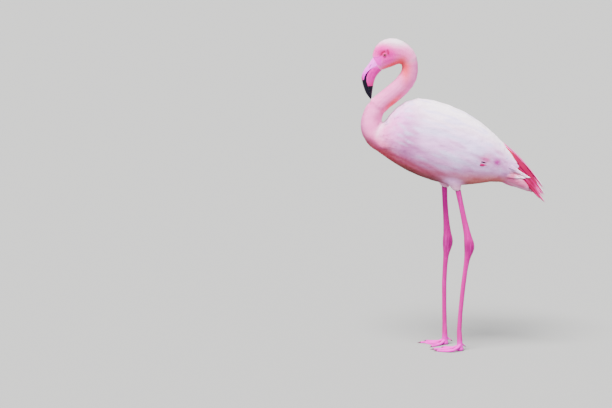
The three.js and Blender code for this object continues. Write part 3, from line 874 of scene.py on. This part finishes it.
def coat_tree():
    """Roots spread over the skin, one vane stood on each along the lie, and all laid down on the skin.

    Baked colours come from the skin: a vane's OFBake map is a patch round its own root's spot on it."""
    tree = bpy.data.node_groups.new("coat", "GeometryNodeTree")
    sockets = {"Skin": "Geometry", "Spacing": "Float", "Where": "String", "Vanes": "Collection",
               "Seed": "Int", "Scale": "Float", "Lift": "Float", "Finish": "Material"}
    for name, kind in sockets.items():
        tree.interface.new_socket(name, in_out="INPUT", socket_type="NodeSocket" + kind)
    tree.interface.new_socket("Coat", in_out="OUTPUT", socket_type="NodeSocketGeometry")
    nodes = Nodes(tree)
    given = nodes.add("NodeGroupInput").outputs

    def named(name, kind="FLOAT"):
        node = nodes.add("GeometryNodeInputNamedAttribute", {"Name": name}, data_type=kind)
        return node.outputs["Attribute"]

    def product(*values):
        total = values[0]
        for value in values[1:]:
            total = nodes.math("MULTIPLY", total, value)
        return total

    def random(low, high, seed):
        node = nodes.add("FunctionNodeRandomValue", {"Min": 0, "Max": 1}, data_type="FLOAT")
        values = {"Min_001": low, "Max_001": high}
        for socket in node.inputs:
            if socket.identifier in values:
                socket.default_value = values[socket.identifier]
        tree.links.new(nodes.math("ADD", given["Seed"], seed), node.inputs["Seed"])
        return next(s for s in node.outputs if s.identifier == "Value_001")

    def stored(geometry, name, value, kind="FLOAT", domain="POINT"):
        inputs = {"Geometry": geometry, "Name": name}
        node = nodes.add("GeometryNodeStoreNamedAttribute", inputs, data_type=kind, domain=domain)
        tree.links.new(value, node.inputs["Value"])
        return node.outputs[0]

    def on_skin(value, kind):
        node = nodes.add("GeometryNodeSampleNearestSurface", {"Mesh": given["Skin"]}, data_type=kind)
        tree.links.new(value, node.inputs["Value"])
        return node.outputs["Value"]

    def vectors(operation, first, second):
        return nodes.add("ShaderNodeVectorMath", {0: first, 1: second}, operation=operation).outputs[0]

    def scaled(vector, by):
        return nodes.add("ShaderNodeVectorMath", {0: vector, "Scale": by}, operation="SCALE").outputs[0]

    # The roots, each with a tint of its own and a height to which its vane rises, higher in clumps.
    roots = nodes.add("GeometryNodeDistributePointsOnFaces", {
        "Mesh": given["Skin"], "Distance Min": given["Spacing"], "Density Max": DENSEST,
        "Seed": given["Seed"], "Density Factor": named(given["Where"])}, distribute_method="POISSON")
    spot = nodes.add("GeometryNodeInputPosition").outputs[0]
    clump = nodes.math("SUBTRACT", nodes.noise(spot, 32.0, 1.0), 0.5)
    roots = stored(roots.outputs["Points"], "tint", random(0.0, 1.0, 3))
    swell = nodes.math("ADD", nodes.math("MULTIPLY", clump, 0.35), random(0.98, 1.02, 5))
    roots = stored(roots, "rise", product(swell, given["Lift"], named("lift")))

    # A vane on each root, its back along the skin's outward way and its tip along the lie.
    facing = named("facing", "FLOAT_VECTOR")
    upright = nodes.add("FunctionNodeAlignRotationToVector", {"Vector": facing}, axis="Z").outputs[0]
    aim = {"Rotation": upright, "Vector": named("lie", "FLOAT_VECTOR")}
    aimed = nodes.add("FunctionNodeAlignRotationToVector", aim, axis="Y", pivot_axis="Z").outputs[0]
    yaw = nodes.math("ADD", nodes.math("MULTIPLY", clump, 0.9), random(-0.10, 0.10, 7))
    turn = nodes.add("ShaderNodeCombineXYZ", {"Z": yaw}).outputs[0]
    turn = nodes.add("FunctionNodeEulerToRotation", {0: turn}).outputs[0]
    turns = {"Rotation": aimed, "Rotate By": turn}
    turned = nodes.add("FunctionNodeRotateRotation", turns, rotation_space="LOCAL").outputs[0]
    length = product(named("size"), given["Scale"], random(0.85, 1.15, 9))
    width = nodes.math("MULTIPLY", length, random(0.85, 1.15, 11))
    scale = nodes.add("ShaderNodeCombineXYZ", {"X": width, "Y": length, "Z": length}).outputs[0]
    kinds = nodes.add("GeometryNodeCollectionInfo", {
        "Collection": given["Vanes"], "Separate Children": True, "Reset Children": True}).outputs[0]
    vanes = nodes.add("GeometryNodeInstanceOnPoints", {
        "Points": roots, "Instance": kinds, "Pick Instance": True,
        "Rotation": turned, "Scale": scale}).outputs[0]
    vanes = nodes.add("GeometryNodeRealizeInstances", {"Geometry": vanes}).outputs[0]

    # Over bare skin a vane keeps its root's tone. Elsewhere each point takes the skin's below it.
    over_bare = nodes.ranged(on_skin(named("bare"), "FLOAT"), 0.02, 0.10)
    root_tone = named("tone", "FLOAT_COLOR")
    tone = nodes.mix(over_bare, on_skin(root_tone, "FLOAT_COLOR"), root_tone)
    vanes = stored(vanes, "tone", tone, "FLOAT_COLOR")

    # Every point goes to the skin below it, and out again by its own height on the vane.
    ground, outward = on_skin(spot, "FLOAT_VECTOR"), on_skin(facing, "FLOAT_VECTOR")
    spot = vectors("ADD", ground, scaled(outward, product(named("high"), named("rise"))))
    laid = nodes.add("GeometryNodeSetPosition", {"Geometry": vanes, "Position": spot}).outputs[0]
    within = scaled(vectors("ADD", named("vane", "FLOAT_VECTOR"), (-0.5, -0.5, 0)), BAKE_PATCH)
    bake = vectors("ADD", named("skin_uv", "FLOAT_VECTOR"), within)
    laid = stored(laid, "OFBake", bake, "FLOAT2", "CORNER")
    laid = stored(laid, "outward", outward, "FLOAT_VECTOR")
    for name in ["skin_uv", "lie", "facing", "size", "lift", "rise", "high", "bare"] + list(WHERE):
        laid = nodes.add("GeometryNodeRemoveAttribute", {"Geometry": laid, "Name": name}).outputs[0]
    dressed = nodes.add("GeometryNodeSetMaterial", {"Geometry": laid, "Material": given["Finish"]}).outputs[0]
    nodes.add("NodeGroupOutput", {"Coat": dressed})
    return tree


# A vane is paler or deeper by its tint and by a slow silky drift of painted light and shade along the lie,
# and deeper towards its root as painted shade under the vanes that overlap it.
feather_material = new_material("pale_feathers", 0.85, 0.10, (1.0, 0.30, 0.55))
nodes = Nodes(feather_material.node_tree)
tone_color = nodes.attribute("tone", "Color")
vane_place = nodes.add("ShaderNodeUVMap", uv_map="vane").outputs[0]
across, along = nodes.add("ShaderNodeSeparateXYZ", {0: vane_place}).outputs[:2]
silk = nodes.noise(nodes.stretched(nodes.place(), (14, 60, 75), (0, 0.33, 0)), 1.0, 3.0)
light = nodes.math("MULTIPLY", nodes.ranged(silk, 0.36, 0.64), 0.72)
light = nodes.math("ADD", light, nodes.math("MULTIPLY", nodes.attribute("tint"), 0.28))
deeper = nodes.toned(tone_color, 1.08, 0.86)
shade = nodes.mix(light, deeper, nodes.toned(tone_color, 0.97, 1.06))
shade = nodes.mix(nodes.ranged(along, 0.66, 0.97, 0.6, 0.0), shade, deeper)
barb_at = nodes.math("ADD", nodes.math("MULTIPLY", across, 60.0), nodes.math("MULTIPLY", along, 25.0))
barbs = nodes.math("SINE", nodes.math("MULTIPLY", barb_at, 6.28))
nodes.paint(shade, barbs, 0.25, 0.0002)
coat = coat_tree()
socket_ids = {item.name: item.identifier for item in coat.interface.items_tree}


def soften(mesh, share):
    """Turns the shading of each vane's upper face part of the way to the skin's own, so edges read soft."""
    outward = numbers(mesh.attributes["outward"].data, "vector", 3)
    outward = outward[numbers(mesh.loops, "vertex_index", 1, int)[:, 0]]
    sides = numbers(mesh.polygons, "loop_total", 1, int)[:, 0]
    facing = np.repeat(numbers(mesh.polygons, "normal", 3), sides, axis=0)
    upper = (facing * outward).sum(1) > -0.15
    blend = np.where(upper[:, None], facing * (1 - share) + outward * share, facing)
    mesh.normals_split_custom_set(blend / np.maximum(np.linalg.norm(blend, axis=1), 1e-9)[:, None])
    mesh.attributes.remove(mesh.attributes["outward"])


def grow_coat(name, where, spacing, vanes, seed, scale=1.0, lift_by=1.0, soft=0.6):
    """One piece of coat over the part of the skin marked by an attribute, as a plain mesh."""
    made = placed(name, skin_mesh)
    grow = made.modifiers.new("coat", "NODES")
    grow.node_group = coat
    values = {"Spacing": spacing, "Where": where, "Vanes": vanes, "Seed": seed, "Scale": scale,
              "Lift": lift_by, "Finish": feather_material}
    for key, value in values.items():
        grow[socket_ids[key]] = value
    mesh = mesh_as_seen(made)
    made.modifiers.clear()
    made.data = mesh
    mesh.name = name
    mesh.shade_smooth()
    soften(mesh, soft)
    dress(made, feather_material, "pale_plumage")
    return made


grow_coat("coat_head", "on_head", 0.00138, SHORT_VANES, 11, soft=0.8)
grow_coat("coat_nape", "on_nape", 0.00185, SHORT_VANES, 12, soft=0.8)
grow_coat("coat_neck", "on_neck", 0.0023, SHORT_VANES, 20, soft=0.8)
grow_coat("coat_thighs", "on_thigh", 0.0026, BODY_VANES, 13)
grow_coat("coat_breast", "on_breast", 0.0052, BODY_VANES, 14)
grow_coat("coat_shoulders", "on_shoulders", 0.0052, BODY_VANES, 15)
grow_coat("coat_belly", "on_belly", 0.0055, BODY_VANES, 16)
grow_coat("coat_back", "on_back", 0.0055, BODY_VANES, 17)
grow_coat("coat_scapulars", "on_flank", 0.0080, LONG_VANES, 18, 2.0, 1.12)
grow_coat("coat_tail", "on_tail", 0.0030, BODY_VANES, 19, 0.9, 1.0)


# ---------- Bill ----------
# Two smooth halves of horn from the frame's own, meeting along the gape, with a nostril slit on each side.
# The upper half is pink at the base and the lower half rose, and both are black beyond the bend.
def horn_copy(name, node, voxel, rounds, material, slot):
    made = fused(name, [node], voxel, rounds, 0.0)
    dress(made, material, slot, node)
    return made


bill_material = new_material("pink_and_black_horn", 0.30, 0.22, (0.85, 0.60, 1.0))
nodes = Nodes(bill_material.node_tree)
place = nodes.place()
mottle = nodes.noise(nodes.stretched(place, (420, 420, 90), (0, 0.5, 0)), 1.0, 4.0)
pink = nodes.toned(nodes.attribute("tone", "Color"), 1.0, nodes.ranged(mottle, 0.3, 0.7, 0.82, 1.14))
ragged = nodes.math("MULTIPLY", nodes.math("SUBTRACT", nodes.noise(place, 320.0, 3.0), 0.5), 1.8)
# Black beyond the bend, and black at the core of the nostril slit as painted shade.
black_and_slit_shade = nodes.ranged(nodes.math("ADD", nodes.attribute("black_and_slit_shade"), ragged), -0.25, 0.35)
black = nodes.mix(mottle, (0.0006, 0.001, 0.003, 1), (0.002, 0.004, 0.010, 1))
fine = nodes.math("MULTIPLY", nodes.noise(place, 900.0, 3.0), 0.5)
relief = nodes.math("ADD", nodes.math("MULTIPLY", mottle, 0.7), fine)
nodes.paint(nodes.mix(black_and_slit_shade, pink, black), relief, 0.22, 0.0003)

bill_upper = horn_copy("upper_mandible", "bill_upper", 0.0008, 70, bill_material, "bill_horn")
bill_lower = horn_copy("lower_mandible", "bill_lower", 0.0008, 60, bill_material, "bill_horn")
NOSTRIL = [in_box("bill_upper", *spot) for spot in ((0.63, 0.845), (0.56, 0.81), (0.46, 0.750))]
SLIT_HALF, SLIT_DEPTH = 0.0008, 0.0016
HALVES_MEET = 0.0022

# How far down the bill, as a share of its height, each half turns black.
BLACK_FROM = {"upper": 0.534, "lower": 0.672}
# The horn's tones: the slit tone is painted shade in the nostril's hollow.
HORN = {
    "base": (0.86, 0.09, 0.78), "side": (0.74, 0.015, 0.66), "ridge": (0.48, 0.004, 0.16),
    "slit": (0.12, 0.004, 0.08), "rose": (0.60, 0.001, 0.31), "chin": (0.80, 0.03, 0.55),
    "deep": (0.48, 0.002, 0.14),
}


def gape_path(count=14):
    """The line in side view where the two halves meet, from the face to the tip."""
    tree = KDTree(len(bill_lower.data.vertices))
    for i, vert in enumerate(bill_lower.data.vertices):
        tree.insert(vert.co, i)
    tree.balance()
    upper = [v.co for v in frame["nodes"]["bill_upper"].data.vertices]
    meet = np.array([(co.x, co.z) for co in upper if tree.find(co)[2] < HALVES_MEET])
    edges = np.linspace(meet[:, 1].max() + 1e-6, meet[:, 1].min() - 1e-6, count)
    rows = [meet[(meet[:, 1] <= top) & (meet[:, 1] > bottom)] for top, bottom in zip(edges[:-1], edges[1:])]
    return [row.mean(0) for row in rows if len(row)]


def color_bill(made, half, gape):
    """Pink tones on each point, and how far in millimetres a point is inside the black, which also darkens
    the nostril slit's hollow as painted shade.
    """
    mesh = made.data
    spots = points_of(mesh)
    low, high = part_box("bill_upper")
    down = (high.z - spots[:, 2]) / (high.z - low.z)
    black_and_slit_shade = (down - BLACK_FROM[half]) * (high.z - low.z) * 1000
    if half == "upper":
        from_slit, share = from_path(spots, NOSTRIL)
        hollow = np.exp(-((from_slit / SLIT_HALF) ** 2)) * np.sin(math.pi * np.clip(share, 0.05, 0.95)) ** 0.4
        hollow *= ramp(np.abs(spots[:, 1] - (low.y + high.y) / 2), 0.002, 0.004)
        spots = spots - normals_of(mesh) * (hollow * SLIT_DEPTH)[:, None]
        move_points(mesh, spots)
        from_gape = from_path(spots, gape)[0] * 1000
        band = 0.7 + 6.2 * ramp(down, 0.17, 0.52) - from_gape - 3.0 * ramp(down, 0.18, 0.12)
        black_and_slit_shade = np.logaddexp(band / 1.2, black_and_slit_shade / 1.2) * 1.2
        # Painted shade in the nostril: its hollow is black at the core, and dark round it by a layer further
        # on.
        black_and_slit_shade = np.maximum(black_and_slit_shade, 1.2 * (hollow - 0.85))
        start = "base"
        layers = [("side", ramp(down, 0.20, 0.42)),
                  ("ridge", ramp(down, 0.36, 0.52) * ramp(from_gape, 7.0, 12.0)),
                  ("slit", hollow)]
    else:
        start = "rose"
        layers = [("chin", ramp(down, 0.28, 0.17)), ("deep", 0.7 * ramp(down, 0.52, 0.66))]
    shade = np.tile(HORN[start], (len(spots), 1))
    for name, weight in layers:
        shade = laid_over(shade, HORN[name], weight)
    store(mesh, "tone", "FLOAT_COLOR", "POINT", np.c_[np.clip(shade, 0, 1), np.ones(len(shade))])
    store(mesh, "black_and_slit_shade", "FLOAT", "POINT", black_and_slit_shade)


gape = gape_path()
color_bill(bill_upper, "upper", gape)
color_bill(bill_lower, "lower", gape)


# ---------- Eyes ----------
# Glossy balls with a pale iris, darker at its rim, round a small black pupil. Each sits in the skin
# behind its lids, a little deeper than the frame's own ball.
PUPIL = (0.003, 0.003, 0.003, 1)
PUPIL_DEGREES = 19.8
IRIS = [(0.0, (0.10, 0.07, 0.03)), (0.40, (0.20, 0.155, 0.075)),
        (0.50, (0.17, 0.10, 0.06)), (0.60, (0.06, 0.008, 0.012))]
eye_material = new_material("pale_iris", 0.06, 0.25)
nodes = Nodes(eye_material.node_tree)

# Each point of a ball keeps its angle off the way that the eye looks, in degrees, and rings follow it.
off = nodes.attribute("off")
fibres = nodes.math("MULTIPLY", nodes.noise(nodes.place(), 1500.0, 3.0), 3.0)
rings = nodes.ranged(nodes.math("ADD", off, fibres), 0.0, 60.0)
iris = nodes.add("ShaderNodeValToRGB", {"Fac": rings})
for i, (at, shade) in enumerate(IRIS):
    stop = iris.color_ramp.elements[i] if i < 2 else iris.color_ramp.elements.new(at)
    stop.position = at
    stop.color = shade + (1,)
in_pupil = nodes.ranged(off, PUPIL_DEGREES + 1.2, PUPIL_DEGREES)
nodes.paint(nodes.mix(in_pupil, iris.outputs[0], PUPIL))
for side, outwards in EYE_SIDES.items():
    centre, radius = eye_spot(side)
    ball = bmesh.new()
    bmesh.ops.create_uvsphere(ball, u_segments=64, v_segments=48, radius=radius)
    mesh = bpy.data.meshes.new("eyeball_" + side)
    ball.to_mesh(mesh)
    ball.free()
    look = np.array(Vector((-0.07, outwards, 0.02)).normalized())
    cosine = np.clip((points_of(mesh) @ look) / radius, -1, 1)
    store(mesh, "off", "FLOAT", "POINT", np.degrees(np.arccos(cosine)))
    mesh.transform(Matrix.Translation(centre))
    mesh.shade_smooth()
    dress(placed("eyeball_" + side, mesh), eye_material, "eye", "eye_" + side)


# ---------- Claws ----------
# Small dark claws of horn, one at the end of each toe: smoothed copies of the frame's own, which the
# skin of the toe runs on into.
claw_material = new_material("claw_horn", 0.35)
nodes = Nodes(claw_material.node_tree)
wear = nodes.noise(nodes.place(), 500.0, 3.0)
nodes.paint(nodes.mix(wear, (0.045, 0.008, 0.022, 1), (0.15, 0.025, 0.07, 1)))
for node in [name for name in frame["nodes"] if name.startswith("claw")]:
    horn_copy(node.replace("claw", "nail"), node, 0.00045, 8, claw_material, "claw")


# ---------- Long feathers ----------
# Single quills shaped one by one and laid on the bird's outer surface: crimson plumes that hang past the
# tail, white scapular points over them, dark and rosy feathers in a gap of the flank, and the tail's own.
# The rays that find the bird's surface start this far to its side. A quill is made of rings of points.
OUTSIDE = 0.3
RING = 8


def curve_at(line, t):
    """A spot on the smooth curve that four points steer, at a share of the way along it."""
    a, b, c, d = line
    return a * (1 - t) ** 3 + b * 3 * t * (1 - t) ** 2 + c * 3 * t * t * (1 - t) + d * t**3


def draped(line, side, tree, lift, sink=0.004, until=0.35, stations=13):
    """A curve drawn in side view, as four [x, z] points, laid on the outside of the tree's solids.

    Gives the points and the way the surface faces at each. It starts sunk under the coat, and comes out
    of it by the share of its length that until names."""
    places = [curve_at([np.array(point) for point in line], t) for t in np.linspace(0, 1, stations)]
    hits = [tree.ray_cast(Vector((x, OUTSIDE * side, z)), Vector((0, -side, 0)))[:2] for x, z in places]
    known = [i for i, (hit, _) in enumerate(hits) if hit is not None]
    if not known:
        return draped(line, side, solid_tree, lift, sink, until, stations)
    nearest = [min(known, key=lambda j: abs(j - i)) for i in range(stations)]
    spots = np.array([(x, hits[j][0].y, z) for (x, z), j in zip(places, nearest)])
    faces = np.array([hits[j][1][:] for j in nearest])
    for _ in range(6):
        spots[1:-1, 1] = (spots[:-2, 1] + spots[1:-1, 1] * 2 + spots[2:, 1]) / 4
        faces[1:-1] = (faces[:-2] + faces[1:-1] * 2 + faces[2:]) / 4
    t = np.linspace(0, 1, stations)
    return spots + faces * (lift - sink * ramp(t, until, 0.0))[:, None], faces


def quill(spots, ups, half, tip, cup=0.12, thick=0.0004):
    """One long feather: a closed vane along a line of points, cupped across, with a raised shaft.

    It tapers from the share tip of its length on, and ups is the way its upper face looks at each point.
    Every station of it is a ring of points, five above and three below."""
    made, flat = [], []
    count = len(spots)
    for i in range(count):
        t = i / (count - 1)
        ahead = Vector(spots[min(i + 1, count - 1)]) - Vector(spots[max(i - 1, 0)])
        side = ahead.cross(Vector(ups[i])).normalized()
        over = side.cross(ahead).normalized()
        taper = max(1 - max(t - tip, 0) / (1 - tip), 0.0) ** 0.62
        width = half * min(1.0, 0.35 + 2.2 * t) * taper + 0.0003
        for face, row in ((1, (-1, -0.5, 0, 0.5, 1)), (-1, (0.5, 0, -0.5))):
            for across in row:
                shaft = 0.0002 if face > 0 and across == 0 else 0.0
                rise = shaft - cup * half * across * across + face * thick
                made.append(Vector(spots[i]) + side * width * across + over * rise)
                flat.append((0.5 + across * 0.4, t))
    faces = []
    for i in range(count - 1):
        for j in range(RING):
            a, b = RING * i + j, RING * i + (j + 1) % RING
            faces.append((a, a + RING, b + RING, b))
    faces.append(tuple(range(RING)))
    faces.append(tuple(reversed(range(RING * (count - 1), RING * count))))
    return made, faces, flat


skin_tree = BVHTree.FromPolygons([v.co for v in skin_mesh.vertices], [p.vertices for p in skin_mesh.polygons])


def skin_face(spot):
    """The face of the skin nearest to a spot."""
    return skin_mesh.polygons[skin_tree.find_nearest(Vector(spot))[2]]


def feather_piece(name, quills, tones, replaced=()):
    """Joins quills into one piece.

    A quill's tone is the colours at its root, middle and tip, with None for the coat's own."""
    spots, faces, flat, shades, tints, roots = [], [], [], [], [], []
    for n, ((new_spots, new_faces, new_flat), new_tones) in enumerate(zip(quills, tones)):
        start = len(spots)
        spots += new_spots
        faces += [tuple(start + i for i in face) for face in new_faces]
        flat += new_flat
        across, along = np.array(new_flat).T
        edge = np.abs(across - 0.5) / 0.4
        coat_tone = np.array([tone[skin_face(spot).vertices[0]] for spot in new_spots])
        filled = [coat_tone if shade is None else np.tile(shade, (len(along), 1)) for shade in new_tones]
        shade = laid_over(filled[0], filled[1], ramp(along, 0.08, 0.28))
        shades.append(laid_over(shade, filled[2], ramp(along + 0.10 * edge, 0.72, 0.98)))
        tints += [(n * 0.37) % 1] * len(along)
        roots += [new_spots[2]] * len(along)
    made = plain_mesh(name, spots, faces)
    mesh = made.data
    face_outwards(mesh)
    mesh.shade_smooth()
    store(mesh, "tone", "FLOAT_COLOR", "POINT", np.c_[np.vstack(shades), np.ones(len(spots))])
    store(mesh, "tint", "FLOAT", "POINT", tints)
    skin_uv = skin_mesh.uv_layers["skin_uv"].data
    root_uv = {root: skin_uv[skin_face(root).loop_start].uv for root in {tuple(r) for r in roots}}
    vane, bake = mesh.uv_layers.new(name="vane"), mesh.uv_layers.new(name="OFBake")
    for loop in mesh.loops:
        u, v = flat[loop.vertex_index]
        vane.data[loop.index].uv = (u, v)
        base = root_uv[tuple(roots[loop.vertex_index])]
        bake.data[loop.index].uv = (base[0] + (u - 0.5) * BAKE_PATCH, base[1] + (v - 0.5) * BAKE_PATCH)
    dress(made, feather_material, "rose_plumage" if "plume" in name else "pale_plumage", *replaced)
    return made


WHITE, PINK, RED = (0.90, 0.70, 0.88), (0.86, 0.17, 0.48), (0.46, 0.004, 0.028)
CRIMSON, ROSE, BLACK = (0.30, 0.001, 0.056), (0.47, 0.001, 0.140), (0.006, 0.003, 0.004)


def swept(start, end, sag):
    """Four [x, z] points from start to end that hang a little below the straight line, or above it."""
    start, end = np.array(start), np.array(end)
    down = np.array((0, -sag))
    return [start, start + (end - start) * 0.33 + down, start + (end - start) * 0.68 + down, end]


# The plumes' roots lie on a line across the bundle. Each plume is (tip, half width, its three colours).
PLUME_ROOTS = (np.array((-0.02, 1.02)), np.array((0.30, 0.50)))
PLUMES = [
    ((0.95, 0.150), 0.0034, (PINK, PINK, WHITE)), ((0.80, 0.300), 0.0050, (RED, CRIMSON, CRIMSON)),
    ((0.86, 0.230), 0.0052, (RED, CRIMSON, ROSE)), ((0.91, 0.170), 0.0046, (RED, CRIMSON, ROSE)),
    ((0.93, 0.135), 0.0030, (RED, ROSE, PINK)), ((0.90, 0.110), 0.0044, (RED, CRIMSON, PINK)),
    ((0.84, 0.140), 0.0044, (RED, CRIMSON, ROSE)), ((0.96, 0.012), 0.0042, (RED, ROSE, PINK)),
    ((0.92, 0.030), 0.0044, (RED, CRIMSON, ROSE)), ((0.82, 0.090), 0.0044, (RED, CRIMSON, ROSE)),
    ((0.72, 0.190), 0.0050, (RED, CRIMSON, CRIMSON)), ((0.62, 0.290), 0.0050, (RED, CRIMSON, ROSE)),
]
for side, outwards in EYE_SIDES.items():
    node, quills, tones = "plumes_" + side, [], []
    plume_solid = tree_of([node])[0]
    for i, (tip, half, shades) in enumerate(PLUMES):
        share = i / (len(PLUMES) - 1)
        root = PLUME_ROOTS[0] + (PLUME_ROOTS[1] - PLUME_ROOTS[0]) * share
        line = swept(in_box(node, *root), in_box(node, *tip), 0.012 * (share - 0.75))
        lift = 0.0002 + 0.0010 * (1 - share) + 0.0003 * (i % 2)
        quills.append(quill(*draped(line, outwards, plume_solid, lift, 0.002), half, 0.45))
        tones.append(shades)
    feather_piece("crimson_plumes_" + side, quills, tones, [node])

# The wing ends in a white point over the plumes: each feather is (tip, how long, its slope).
WING_POINT = [((0.988, 0.006), 0.085, -0.30), ((0.965, 0.034), 0.080, -0.33), ((0.940, 0.060), 0.075, -0.40),
              ((0.915, 0.090), 0.068, -0.50), ((0.955, 0.004), 0.080, -0.22), ((0.925, 0.012), 0.072, -0.16)]
quills, tones = [], []
for side, outwards in EYE_SIDES.items():
    for i, (tip, long, turn) in enumerate(WING_POINT):
        tip = in_box("wing_" + side, *tip)
        line = swept(tip - long * np.array((math.cos(turn), math.sin(turn))), tip, -0.002)
        spots, ups = draped(line, outwards, solid_tree, 0.0028 - 0.0003 * i, 0.0065, 0.9)
        quills.append(quill(spots, ups, 0.0064, 0.60, 0.05, 0.0002))
        tones.append((None, None, WHITE))
feather_piece("scapular_points", quills, tones)

# A dark flight feather and a rosy covert that show through a gap low on the flank. They lie so deep
# that the coat covers their edges: each is (root, tip, half width, lift, shade).
GAP = [((0.622, 0.254), (0.676, 0.232), 0.0019, -0.0012, BLACK),
       ((0.616, 0.230), (0.676, 0.196), 0.0050, -0.0017, ROSE)]
quills, tones = [], []
for side, outwards in EYE_SIDES.items():
    for root, tip, half, lift, shade in GAP:
        line = swept(in_box("wing_" + side, *root), in_box("wing_" + side, *tip), 0.0)
        quills.append(quill(*draped(line, outwards, solid_tree, lift, 0.003), half, 0.5, 0.05, 0.0003))
        tones.append((None, shade, shade))
feather_piece("flight_feathers", quills, tones)

# The tail's own feathers fan out of its end, the outer ones a little shorter and turned outwards.
TAIL_QUILLS = 11
low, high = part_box("tail")
middle = (low.y + high.y) / 2
quills, tones = [], []
for i in range(TAIL_QUILLS):
    fan = i / ((TAIL_QUILLS - 1) / 2) - 1
    out = abs(fan)
    root = np.array((low.x + 0.045, middle + fan * 0.013, high.z - 0.032 - 0.003 * out))
    end = np.array((high.x + 0.005 - 0.012 * out, middle + fan * 0.015, low.z - 0.001 + 0.010 * out))
    third = root + (end - root) * 0.35 + (0, fan * 0.004, 0.005)
    line = [root, third, root + (end - root) * 0.7 + (0, 0, 0.005), end]
    spots = np.array([curve_at(line, t) for t in np.linspace(0, 1, 13)])
    quills.append(quill(spots, [(0.5, fan * 0.9, 1.0)] * 13, 0.0060, 0.6, 0.06, 0.00025))
    tones.append((PINK, WHITE, WHITE))
feather_piece("tail_feathers", quills, tones)
